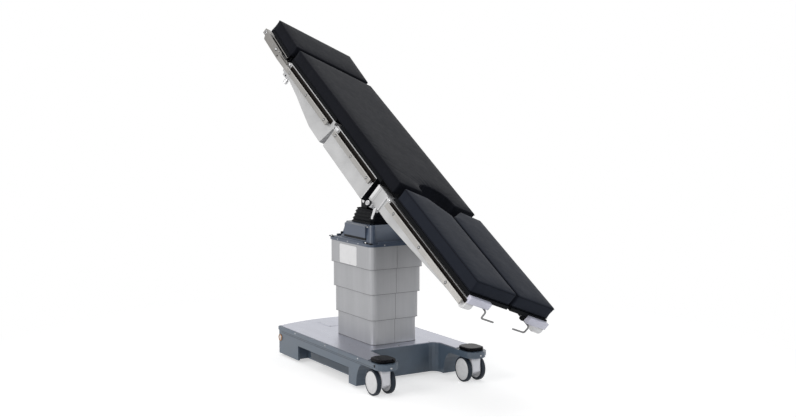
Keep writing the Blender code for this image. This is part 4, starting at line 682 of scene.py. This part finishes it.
def dress_head_bar(tag, side):
    """A head bar's bolts, tab ring, holes, slot and edge strip, and the rail end, web and knob it meets."""
    face = HEAD_BAR_FACE
    bm = bmesh.new()
    bolts = ((-0.984, 0.1020, 0.0085), (-0.949, 0.0950, 0.0042), (-1.029, 0.1010, 0.0036))
    for u, depth, radius in bolts:
        add_screw(bm, (u, side * (face + 0.0006), height(depth)), (0, side, 0), radius * 0.86, radius * 0.42)
    ring_profile(bm, (-1.1460, side * face, height(0.1010)), (0, side, 0),
                 ((0.0044, -0.001), (0.0098, -0.001), (0.0098, 0.0012), (0.0084, 0.0022), (0.0044, 0.0016)))
    top_block(bm, side, (-0.910, -0.868), (0.2560, 0.2690), (0.0862, 0.0902), 0.0010)
    finished("head_bar_bolts_" + tag, bm, "bolt", HEAD, "head")
    bm = bmesh.new()
    holes = [(-0.945, 0.1176, 0.0044, 0.0009), (-1.146, 0.1010, 0.0046, 0.0009)]
    holes += [(u, depth, radius * 1.12, 0.0010) for u, depth, radius in bolts]
    for u, depth, radius, thick in holes:
        add_disc(bm, (u, side * (face - 0.0004), height(depth)), (0, side, 0), radius, thick)
    top_block(bm, side, (-0.925, -0.862), (0.2600, 0.2715), (0.0868, 0.0912))
    finished("head_bar_holes_" + tag, bm, "guide", HEAD, "head")
    block_piece("head_edge_strip_" + tag, "rail", HEAD, "head", side,
                (-1.124, -0.876), (0.2598, 0.2634), (0.0778, 0.0816), 0.0006)
    block_piece("back_rail_end_" + tag, "rail", SEAT, "back", side,
                (-0.922, -0.797), (0.2717, 0.2812), (0.0972, 0.1218), 0.0008)
    block_piece("head_gap_web_" + tag, "frame", SEAT, "back", side,
                (-0.8520, -0.8480), (0.0004, 0.2590), (0.0620, 0.1040), 0.0006)
    block_piece("knob_bracket_" + tag, "silver", SEAT, "back", side,
                (-0.828, -0.780), (0.2560, 0.2624), (0.120, 0.1535), 0.0022)
    bm = bmesh.new()
    add_disc(bm, (-0.800, side * 0.2620, height(0.1430)), (0, side, 0), 0.0052, 0.0008)
    finished("knob_bracket_hole_" + tag, bm, "guide", SEAT, "back")
    bm = bmesh.new()
    ring_profile(bm, (-0.800, side * 0.2389, height(0.1645)), (0, 0, -1),
                 ((0.0, 0.0), (0.0104, 0.0), (0.0122, 0.0018), (0.0122, 0.0056), (0.0106, 0.0070),
                  (0.0106, 0.0090), (0.0122, 0.0104), (0.0122, 0.0166), (0.0102, 0.0190), (0.0, 0.0194)),
                 False, 32)
    finished("knob_grip_" + tag, bm, "chrome", SEAT, "head_knob_" + tag)


def dress_leg_hinge(tag, side):
    """The nut and rings on a leg's hinge pin, its block's two-part face, and a black plate on the seat cover's
    end beside it that paints that end face's shade.
    """
    pin = Vector((0.2580, 0, height(0.174)))
    out = Vector((0, side, 0))
    bm = bmesh.new()
    add_disc(bm, pin + out * 0.2608, out, 0.0146, 0.0098, 6)
    ring_profile(bm, pin, out, ((0.0060, 0.2756), (0.0108, 0.2756), (0.0112, 0.2770), (0.0112, 0.2850),
                                (0.0100, 0.2866), (0.0060, 0.2866)), steps=28)
    finished("leg_hinge_nut_" + tag, bm, "chrome", LEG, "leg_block_" + tag)
    bm = bmesh.new()
    ring_profile(bm, pin, out, ((0.0060, 0.2706), (0.0140, 0.2706), (0.0140, 0.2757), (0.0060, 0.2757)),
                 steps=28)
    finished("leg_hinge_washer_" + tag, bm, "guide", LEG, "leg_block_" + tag)
    block_piece("hinge_block_edge_" + tag, "end_cap", LEG, "leg_block_" + tag, side,
                (0.2246, 0.2432), (0.2606, 0.2628), (0.0862, 0.1570), 0.0010)
    block_piece("hinge_block_groove_" + tag, "seam_and_shadow_line", LEG, "leg_block_" + tag, side,
                (0.2568, 0.2580), (0.2608, 0.2618), (0.0880, 0.1540))
    # Black plate over the silver cover's foot end face: painted shade
    block_piece("seat_cover_end_" + tag, "frame", SEAT, "seat", side,
                (0.1864, 0.1886), (0.2172, 0.2606), (0.0784, 0.1992), 0.0008)


def dress_leg_end(tag, side):
    """The white rounded end of a leg's housing and the pale plate on its foot bracket."""
    bm = bmesh.new()
    inner, outer = sorted((side * 0.2156, side * (PAD_HALF + 0.0006)))
    radius = 0.0245
    middle_u, middle_w = 1.0125, height(0.1110)
    outline = [(middle_u + radius * math.cos(turn), middle_w + radius * math.sin(turn))
               for turn in (math.radians(-84 + 174 * k / 18) for k in range(19))]
    outline += [(0.986, middle_w + radius), (0.986, height(0.1268))]
    face = bm.faces.new([bm.verts.new((u, inner, w)) for u, w in outline])
    push_out(bm, [face], (0, outer - inner, 0))
    round_edges(bm, [e for e in bm.edges if abs(e.verts[0].co.y - e.verts[1].co.y) < 1e-6], 0.003, 3)
    finished("leg_end_cap_" + tag, bm, "end_cap", LEG, "leg_" + tag)
    block_piece("leg_foot_plate_" + tag, "bracket", LEG, "leg_" + tag, side,
                (1.0206, 1.0408), (0.1298, 0.2620), (0.0662, 0.0974), 0.0012)


# ---------------------------------------------------------------- panel values

class TABLE_PG_look(bpy.types.PropertyGroup):
    """Colours of the table's finishes."""
    slate: bpy.props.FloatVectorProperty(name="Slate paint", description="The base", size=3,
                                         subtype="COLOR", default=(0.085, 0.118, 0.160), min=0, max=1)
    steel: bpy.props.FloatVectorProperty(name="Stainless steel", description="Column covers and seams",
                                         size=3, subtype="COLOR", default=(0.375, 0.378, 0.392), min=0, max=1)
    rail: bpy.props.FloatVectorProperty(name="Rail steel", description="Accessory rails", size=3,
                                        subtype="COLOR", default=(0.350, 0.341, 0.328), min=0, max=1)
    silver: bpy.props.FloatVectorProperty(name="Silver paint", description="Side housings", size=3,
                                          subtype="COLOR", default=(0.530, 0.532, 0.538), min=0, max=1)
    vinyl: bpy.props.FloatVectorProperty(name="Mattress vinyl", description="Head and main mattresses", size=3,
                                         subtype="COLOR", default=(0.0104, 0.0114, 0.0152), min=0, max=1)
    white: bpy.props.FloatVectorProperty(name="White plastic", description="Wheels, end caps and plates", size=3,
                                         subtype="COLOR", default=(0.84, 0.84, 0.85), min=0, max=1)
    frame_black: bpy.props.FloatVectorProperty(name="Black frame", description="Plate frames", size=3,
                                               subtype="COLOR", default=(0.0056, 0.0064, 0.0080), min=0, max=1)
    chrome: bpy.props.FloatVectorProperty(name="Bright steel", description="Screws, levers and springs", size=3,
                                          subtype="COLOR", default=(0.72, 0.72, 0.73), min=0, max=1)


class TABLE_PG_sizes(bpy.types.PropertyGroup):
    """Sizes of the dressed details."""
    crown: bpy.props.FloatProperty(name="Mattress crown", description="How far a mattress top stands proud",
                                   default=0.0022, min=0, max=0.006, unit="LENGTH")
    screw_radius: bpy.props.FloatProperty(name="Rail screw radius", description="Radius of the rail screw heads",
                                          default=0.0062, min=0.003, max=0.009, unit="LENGTH")
    lens: bpy.props.FloatProperty(name="Lens", description="Camera lens on a 36 mm sensor", default=51.945,
                                  min=20, max=120, unit="CAMERA")


# ---------------------------------------------------------------- operators

class TABLE_OT_finishes(bpy.types.Operator):
    """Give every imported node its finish"""
    bl_idname = "table.finishes"
    bl_label = "Finishes"

    def execute(self, context):
        make_finishes(context.scene.table_look)
        for node, item in NODES.items():
            item.data.materials.clear()
            item.data.materials.append(node_finish(node))
        return {"FINISHED"}


class TABLE_OT_mattresses(bpy.types.Operator):
    """Sew the four mattress sections"""
    bl_idname = "table.mattresses"
    bl_label = "Mattresses"

    def execute(self, context):
        crown = context.scene.table_sizes.crown
        main = [(BACK_HEAD_U, -PAD_HALF), (SEAT_FOOT_U, -PAD_HALF), *bay(SEAT_FOOT_U)[::-1],
                (SEAT_FOOT_U, PAD_HALF), (BACK_HEAD_U, PAD_HALF)]
        creases = [((0.205, 0.0), 0.3, 0.07, 0.0008, 0.030), ((0.262, -0.160), 1.2, 0.05, 0.0008, 0.024),
                   ((0.262, 0.160), -1.2, 0.05, 0.0008, 0.024)]
        pad, seam = make_mattress("mattress_main", main, SEAT, ("back_pad", "fold_pad", "seat_pad"),
                                  crown=crown, creases=creases)
        start, end = (SEAT @ Vector((u, 0, height(0.03))) for u in FOLD)
        for piece in (pad, seam):
            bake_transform(piece)
        low, high = HEAD_PAD
        head = [(low, -PAD_HALF), (high, -PAD_HALF), (high, PAD_HALF), (low, PAD_HALF)]
        make_mattress("mattress_head", head, HEAD, ("head_pad",), "head", crown)
        low, high = LEG_PAD
        for tag, side in SIDES.items():
            leg = [(u, side * v) for u, v in (
                (low, PAD_HALF), (low, LEG_CHAMFER_V), (low + LEG_CHAMFER_U, LEG_SPLIT), (high, LEG_SPLIT),
                (high, PAD_HALF))]
            make_mattress("mattress_leg_" + tag, leg, LEG, ("leg_pad_" + tag,), "leg_" + tag, crown,
                          cover="leg_vinyl_painted_light")
        return {"FINISHED"}


class TABLE_OT_rail_screws(bpy.types.Operator):
    """Fit the button head screws on the accessory rails, each on a black ring that paints the shade of its
    countersink
    """
    bl_idname = "table.rail_screws"
    bl_label = "Rail screws"

    def execute(self, context):
        radius = context.scene.table_sizes.screw_radius
        for section, place, spots in (("back", SEAT, (-0.760, -0.550, -0.330)),
                                      ("seat", SEAT, (-0.190, -0.020, 0.150)),
                                      ("leg", LEG, (0.4268, 0.6653, 0.8991))):
            for tag, side in SIDES.items():
                bm = bmesh.new()
                rings = bmesh.new()
                for u in spots:
                    add_screw(bm, (u, side * RAIL_FACE, height(RAIL_MIDDLE)), (0, side, 0), radius * 0.88,
                              0.0015)
                    # Black ring round each screw: painted shade of its countersink
                    add_disc(rings, (u, side * (RAIL_FACE - 0.0004), height(RAIL_MIDDLE)), (0, side, 0),
                             radius * 1.16, 0.0008)
                name = section + "_rail_" + tag
                body = section_body(section, tag)
                finished(name + "_screw_shade_rings", rings, "guide", place, body)
                finished(name + "_screws", bm, "screw", place, body)
        return {"FINISHED"}


def section_body(section, tag):
    """The body of a section of the top: each side has a leg of its own."""
    return section + "_" + tag if section == "leg" else section


class TABLE_OT_toothed_strips(bpy.types.Operator):
    """Lay the dark toothed strips between the rails and the mattresses, with their bright end blocks"""
    bl_idname = "table.toothed_strips"
    bl_label = "Toothed strips"

    def execute(self, context):
        pitch = 0.006
        root, tip, block_face = 0.2628, 0.2641, 0.2680
        for section, place, ends, block, top in (
                ("back", SEAT, (-0.800, -0.290), (-0.826, -0.814), 0.0812),
                ("seat", SEAT, (-0.205, 0.186), (-0.244, -0.214), 0.0812),
                ("leg", LEG, (0.352, 1.030), (0.322, 0.346), 0.0868)):
            for tag, side in SIDES.items():
                body = section_body(section, tag)
                bm = bmesh.new()
                top_block(bm, side, ends, (STRIP_EDGE, root), (0.1050, top))
                for k in range(int((ends[1] - ends[0]) / pitch)):
                    u = ends[0] + (k + 0.25) * pitch
                    top_block(bm, side, (u, u + pitch / 2), (root, tip), (0.1042, top + 0.0008))
                finished("toothed_strip_" + section + "_" + tag, bm, "rack", place, body)
                bm = bmesh.new()
                top_block(bm, side, block, (STRIP_EDGE, block_face), (0.0955, top + 0.001), 0.0012)
                add_screw(bm, (sum(block) / 2, side * block_face, height(top + 0.008)), (0, side, 0), 0.0042,
                          0.0016)
                finished("strip_block_" + section + "_" + tag, bm, "chrome", place, body)
        return {"FINISHED"}


class TABLE_OT_hood_fittings(bpy.types.Operator):
    """Fit the hood's bolts, the beads along its flange, its corner shims, and a black strip under each side
    panel that is painted shadow of the gap there
    """
    bl_idname = "table.hood_fittings"
    bl_label = "Hood fittings"

    def execute(self, context):
        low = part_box("column_hood")[0].z
        flange = low + 0.0130
        bead = (flange - 0.0004, flange + 0.0085)
        bm = bmesh.new()
        for y in (-1, 1):
            for x in (-0.1084, -0.0087, 0.0940):
                add_screw(bm, (x, y * 0.1511, low + 0.0070), (0, y, 0), 0.0034, 0.0014)
            add_screw(bm, (0.1460, y * 0.1290, 0.7062), (0, y * 0.99, 0.15), 0.0052, 0.0034)
        for x in (-1, 1):
            for y in (-0.073, 0.073):
                add_screw(bm, (x * 0.2063, y, low + 0.0070), (x, 0, 0), 0.0034, 0.0014)
        for x in (-0.1780, 0.1560):
            for y in (-0.1452, 0.1452):
                add_screw(bm, (x, y, flange + 0.0040), (0, 0, 1), 0.0062, 0.0046)
        finished("hood_bolts", bm, "bolt", COLUMN, "lift_head")
        bm = bmesh.new()
        for y in (-1, 1):
            side_block(bm, y, (-0.150, 0.139), (0.1492, 0.1436), bead, 0.0016)
        for x in (-1, 1):
            side_block(bm, 1, sorted((x * 0.2044, x * 0.1988)), (-0.105, 0.105), bead, 0.0016)
        finished("hood_flange_beads", bm, "hood", COLUMN, "lift_head")
        bm = bmesh.new()
        for y in (-1, 1):
            # Black strip under each side panel: painted shadow of the gap between panel and hood wall
            side_block(bm, y, (-0.062, 0.143), (0.1340, 0.1397), (0.6440, 0.6545))
            add_screw(bm, (-0.0900, y * 0.1352, 0.6580), (0, y * 0.99, 0.15), 0.0060, 0.0070, socket=False)
            for x in (-1, 1):
                side_block(bm, y, sorted((x * 0.1440, x * 0.2025)), (0.1330, 0.1482),
                           (flange - 0.0004, flange + 0.0042), 0.0012, 1)
        finished("hood_shims_and_shade_gap", bm, "guide", COLUMN, "lift_head")
        return {"FINISHED"}


class TABLE_OT_column_seams(bpy.types.Operator):
    """Mark the upright sheet seams, and a dark hem ring at the bottom of each column cover that paints the
    shadow line under its step
    """
    bl_idname = "table.column_seams"
    bl_label = "Column seams"

    def execute(self, context):
        edges = (0.1526, 0.2688, 0.3916, 0.5100, 0.6170)
        for index, body in enumerate(("base", "cover_two", "cover_three", "lift_head")):
            bm = bmesh.new()
            half_x = 0.1782 + 0.0077 * index
            half_y = 0.1230 + 0.0077 * index
            hem, top = edges[index] + 0.0002, edges[index + 1] - 0.001
            for side in (-1, 1):
                x = sorted((side * (half_x - 0.0004), side * (half_x + 0.00035)))
                add_block(bm, (x[0], -0.0036, edges[index] + 0.0008), (x[1], -0.0024, top))
            # Dark hem ring at the cover's bottom: painted shadow line under the step
            rounded_ring(bm, half_x + 0.0004, half_y + 0.0004, 0.0280, hem, hem + 0.0016, 0.0008)
            finished("column_seams_and_shadow_hem_" + str(index + 1), bm, "seam_and_shadow_line", COLUMN, body)
        return {"FINISHED"}


class TABLE_OT_base_fittings(bpy.types.Operator):
    """Fit the base's screws, access panel, side lines with painted shade, recess walls, round socket and the
    arm's bores
    """
    bl_idname = "table.base_fittings"
    bl_label = "Base fittings"

    def execute(self, context):
        bm = bmesh.new()
        for side in (-1, 1):
            for x in (-0.2964, 0.0200, 0.3342):
                add_screw(bm, (x, side * BASE_FACE, 0.1435), (0, side, 0), 0.0038, 0.0014)
            add_screw(bm, (0.540, side * 0.2370, 0.1340), (1, 0, 0), 0.0046, 0.0018)
        for y in (-0.017, 0.150, -0.150):
            add_screw(bm, (0.238, y, 0.1523), (0, 0, 1), 0.0042, 0.0016)
        finished("base_screws", bm, "bolt", COLUMN, "base")
        bm = bmesh.new()
        panel_top = DECK_TOP + 0.0012
        add_block(bm, (-0.455, -0.085, DECK_TOP), (-0.325, 0.085, panel_top), 0.0005, 1)
        finished("deck_access_panel", bm, "deck", COLUMN, "base")
        bm = bmesh.new()
        for x in (-0.445, -0.335):
            for y in (-0.075, 0.075):
                add_screw(bm, (x, y, panel_top), (0, 0, 1), 0.0032, 0.0010)
        finished("access_panel_screws", bm, "bolt", COLUMN, "base")
        bores, lines, walls = bmesh.new(), bmesh.new(), bmesh.new()
        for side in (-1, 1):
            add_disc(bores, (0.4836, side * 0.2896, 0.1392), (0, side, 0), 0.0068, 0.0008)
            # Dark strip under the lip: painted shadow
            side_block(lines, side, (-0.450, 0.470), (0.2860, 0.2894), (0.1286, 0.1309))
            # Thin dark parting line below the lip
            side_block(lines, side, (-0.450, 0.470), (0.2860, 0.2875), (0.1208, 0.1224))
            # Dark panel on the flush near side: painted shade of the recess there
            side_block(lines, side, (-0.1400, 0.2462), (0.2816, 0.2832), (0.0500, 0.0822), 0.0006, 1)
            side_block(walls, side, (-0.2890, -0.1050), (0.2220, 0.2260), (0.0160, 0.1384))
            side_block(walls, side, (-0.2890, -0.2840), (0.2240, 0.2812), (0.0160, 0.1384))
        finished("arm_bores", bores, "guide", COLUMN, "base")
        finished("base_side_lines_and_painted_shade", lines, "painted_shade_slate", COLUMN, "base")
        finished("base_recess_walls", walls, "slate", COLUMN, "base")
        bm = bmesh.new()
        ring_profile(bm, SOCKET, (0, -1, 0),
                     ((0.0118, -0.004), (0.0175, -0.004), (0.0175, 0.0030), (0.0158, 0.0050), (0.0130, 0.0048),
                      (0.0118, 0.0030)))
        finished("round_socket_ring", bm, "bronze", COLUMN, "base")
        bm = bmesh.new()
        ring_profile(bm, SOCKET, (0, -1, 0),
                     ((0.0, 0.0), (0.0122, 0.0), (0.0122, 0.0018), (0.0060, 0.0022), (0.0052, 0.0044),
                      (0.0, 0.0048)), False)
        finished("round_socket_face", bm, "plate", COLUMN, "base")
        return {"FINISHED"}


class TABLE_OT_wheel_discs(bpy.types.Operator):
    """Turn the tyres and the white domed discs on both faces of every wheel"""
    bl_idname = "table.wheel_discs"
    bl_label = "Wheel discs"

    def execute(self, context):
        dome = ((0.0, -0.0004), (0.0496, -0.0004), (0.0497, 0.0012), (0.0484, 0.0026), (0.0455, 0.0030),
                (0.0448, 0.0024), (0.0440, 0.0024), (0.0433, 0.0031), (0.0280, 0.0040), (0.0145, 0.0044),
                (0.0139, 0.0037), (0.0131, 0.0037), (0.0125, 0.0046), (0.0, 0.0050))
        back = ((0.0, -0.0002), (0.0470, -0.0002), (0.0462, 0.0008), (0.0240, 0.0010), (0.0, 0.0010))
        tread = ((0.0440, -0.0104), (0.0540, -0.0104), (0.0572, -0.0094), (0.0586, -0.0070), (0.0588, 0.0),
                 (0.0586, 0.0070), (0.0572, 0.0094), (0.0540, 0.0104), (0.0502, 0.0100), (0.0500, 0.0078),
                 (0.0440, 0.0078))
        dome_seat, back_seat = 0.0080, 0.0105
        for end in ("head", "foot"):
            for tag in SIDES:
                bm = bmesh.new()
                tyres = bmesh.new()
                for wheel, side in SIDES.items():
                    low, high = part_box("caster_" + end + "_" + tag + "_wheel_" + wheel)
                    middle = (low + high) / 2
                    outward = Vector((0, side, 0))
                    ring_profile(bm, middle + outward * dome_seat, outward, dome, False, 48)
                    ring_profile(bm, middle - outward * back_seat, -outward, back, False, 48)
                    ring_profile(tyres, middle, outward, tread, True, 56)
                finished("wheel_discs_" + end + "_" + tag, bm, "wheel", WORLD,
                         "wheels_" + end + "_" + tag, 50)
                tyre = finished("tyres_" + end + "_" + tag, tyres, "tyre", WORLD,
                                "wheels_" + end + "_" + tag, 40)
                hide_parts(*("caster_" + end + "_" + tag + "_wheel_" + wheel for wheel in SIDES))
        return {"FINISHED"}


class TABLE_OT_hinge_fittings(bpy.types.Operator):
    """Fit what the head bars, leg hinges and leg ends carry: bolts, rings, strips, webs, grips and caps"""
    bl_idname = "table.hinge_fittings"
    bl_label = "Hinge fittings"

    def execute(self, context):
        for tag, side in SIDES.items():
            dress_head_bar(tag, side)
            dress_leg_hinge(tag, side)
            dress_leg_end(tag, side)
        return {"FINISHED"}


class TABLE_OT_label_plate(bpy.types.Operator):
    """Fix the bare white plate on the column's near face"""
    bl_idname = "table.label_plate"
    bl_label = "Label plate"

    def execute(self, context):
        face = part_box("column_cover_4")[0].y
        bm = bmesh.new()
        add_block(bm, (AXIS.x - 0.095, face - 0.0012, 0.515), (AXIS.x + 0.072, face + 0.0004, 0.606))
        upright = [edge for edge in bm.edges if abs(edge.verts[0].co.y - edge.verts[1].co.y) > 0.001]
        round_edges(bm, upright, 0.009, 5)
        finished("column_label_plate", bm, "plate", WORLD, "lift_head")
        return {"FINISHED"}


class TABLE_OT_stage(bpy.types.Operator):
    """Set up the camera, the floor, the white background and the lamps"""
    bl_idname = "table.stage"
    bl_label = "Studio"

    def execute(self, context):
        scene = context.scene
        camera = bpy.data.objects.new("camera", bpy.data.cameras.new("camera"))
        camera.location = CAMERA_PLACE
        camera.rotation_euler = CAMERA_VIEW.to_track_quat("-Z", "Y").to_euler()
        camera.data.lens = scene.table_sizes.lens
        camera.data.sensor_width = 36
        camera.data.clip_end = 100
        scene.collection.objects.link(camera)
        scene.camera = camera
        bm = bmesh.new()
        bmesh.ops.create_circle(bm, cap_ends=True, segments=64, radius=40.0)
        mesh = bpy.data.meshes.new("floor")
        bm.to_mesh(mesh)
        bm.free()
        floor = bpy.data.objects.new("floor", mesh)
        scene.collection.objects.link(floor)
        mesh.materials.append(floor_finish())
        make_world(scene)
        for name, place, size, power, tint in (
                ("lamp_left", (0.4, -4.6, 2.6), 3.0, 88, (1.0, 0.99, 0.98)),
                ("lamp_right", (4.6, 2.6, 2.4), 2.6, 56, (0.91, 0.95, 1.0)),
                ("lamp_top", (-0.6, 0.2, 4.6), 3.6, 50, (1.0, 1.0, 1.0))):
            light = bpy.data.lights.new(name, "AREA")
            light.shape = "SQUARE"
            light.size = size
            light.energy = power
            light.color = tint
            lamp = bpy.data.objects.new(name, light)
            lamp.location = place
            lamp.rotation_euler = (LAMP_AIM - Vector(place)).to_track_quat("-Z", "Y").to_euler()
            scene.collection.objects.link(lamp)
        scene.view_settings.view_transform = "Standard"
        return {"FINISHED"}


def floor_finish():
    """A pale floor that keeps the table's shadow and turns to plain white away from the table."""
    made = Finish("floor_finish", (0.80, 0.80, 0.80), 0.9)
    made.set("Specular IOR Level", 0.0)
    seen = made.ray("Camera").math("MAXIMUM", made.ray("Glossy"))
    made.set("Emission Color", made.blend(seen, (0.0, 0.0, 0.0), (0.52, 0.52, 0.52)))
    made.set("Emission Strength", 1.0)
    x, y = made.axis("X"), made.axis("Y")
    away = (x * x + y * y).power(0.5).between(1.0, 2.2) * seen
    white = made.node("ShaderNodeEmission", {}, {"Color": (1.0, 1.0, 1.0), "Strength": 1.0})
    table_light = Value(made, made.shader.outputs[0])
    mixed = made.node("ShaderNodeMixShader", {}, {0: away, 1: table_light, 2: white})
    output = next(item for item in made.tree.nodes if item.type == "OUTPUT_MATERIAL")
    made.join(output.inputs["Surface"], mixed)
    return made.material


def make_world(scene):
    """A white background for the camera, for reflections and through glass, with a softer light for all else."""
    world = bpy.data.worlds.new("studio")
    scene.world = world
    world.use_nodes = True
    made = Nodes(world.node_tree)
    seen = made.ray("Camera").math("MAXIMUM", made.ray("Transmission")).math("MAXIMUM", made.ray("Glossy"))
    background = made.tree.nodes["Background"]
    made.join(background.inputs["Color"], (1.0, 1.0, 1.0))
    made.join(background.inputs["Strength"], made.node("ShaderNodeMapRange", {}, {0: seen, 3: 0.42, 4: 1.0}))


class TABLE_PT_panel(bpy.types.Panel):
    """The operating table's panel in the sidebar"""
    bl_idname = "TABLE_PT_panel"
    bl_label = "Operating Table"
    bl_space_type = "VIEW_3D"
    bl_region_type = "UI"
    bl_category = "Operating Table"

    def draw(self, context):
        for group in (context.scene.table_look, context.scene.table_sizes):
            for key in group.bl_rna.properties.keys():
                if key not in ("rna_type", "name"):
                    self.layout.prop(group, key)
        for operator in OPERATORS:
            self.layout.operator(operator.bl_idname)


OPERATORS = (TABLE_OT_finishes, TABLE_OT_mattresses, TABLE_OT_rail_screws, TABLE_OT_toothed_strips,
             TABLE_OT_hood_fittings, TABLE_OT_column_seams, TABLE_OT_base_fittings, TABLE_OT_wheel_discs,
             TABLE_OT_hinge_fittings, TABLE_OT_label_plate, TABLE_OT_stage)
CLASSES = (TABLE_PG_look, TABLE_PG_sizes, *OPERATORS, TABLE_PT_panel)


def register():
    """Register the classes and the scene's two groups of values."""
    for item in CLASSES:
        bpy.utils.register_class(item)
    bpy.types.Scene.table_look = bpy.props.PointerProperty(type=TABLE_PG_look)
    bpy.types.Scene.table_sizes = bpy.props.PointerProperty(type=TABLE_PG_sizes)


def unregister():
    """Remove the scene's values and the classes."""
    del bpy.types.Scene.table_sizes
    del bpy.types.Scene.table_look
    for item in reversed(CLASSES):
        bpy.utils.unregister_class(item)


def main():
    register()
    for operator in OPERATORS:
        group, name = operator.bl_idname.split(".")
        getattr(getattr(bpy.ops, group), name)()
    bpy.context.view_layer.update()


if __name__ == "__main__":
    main()
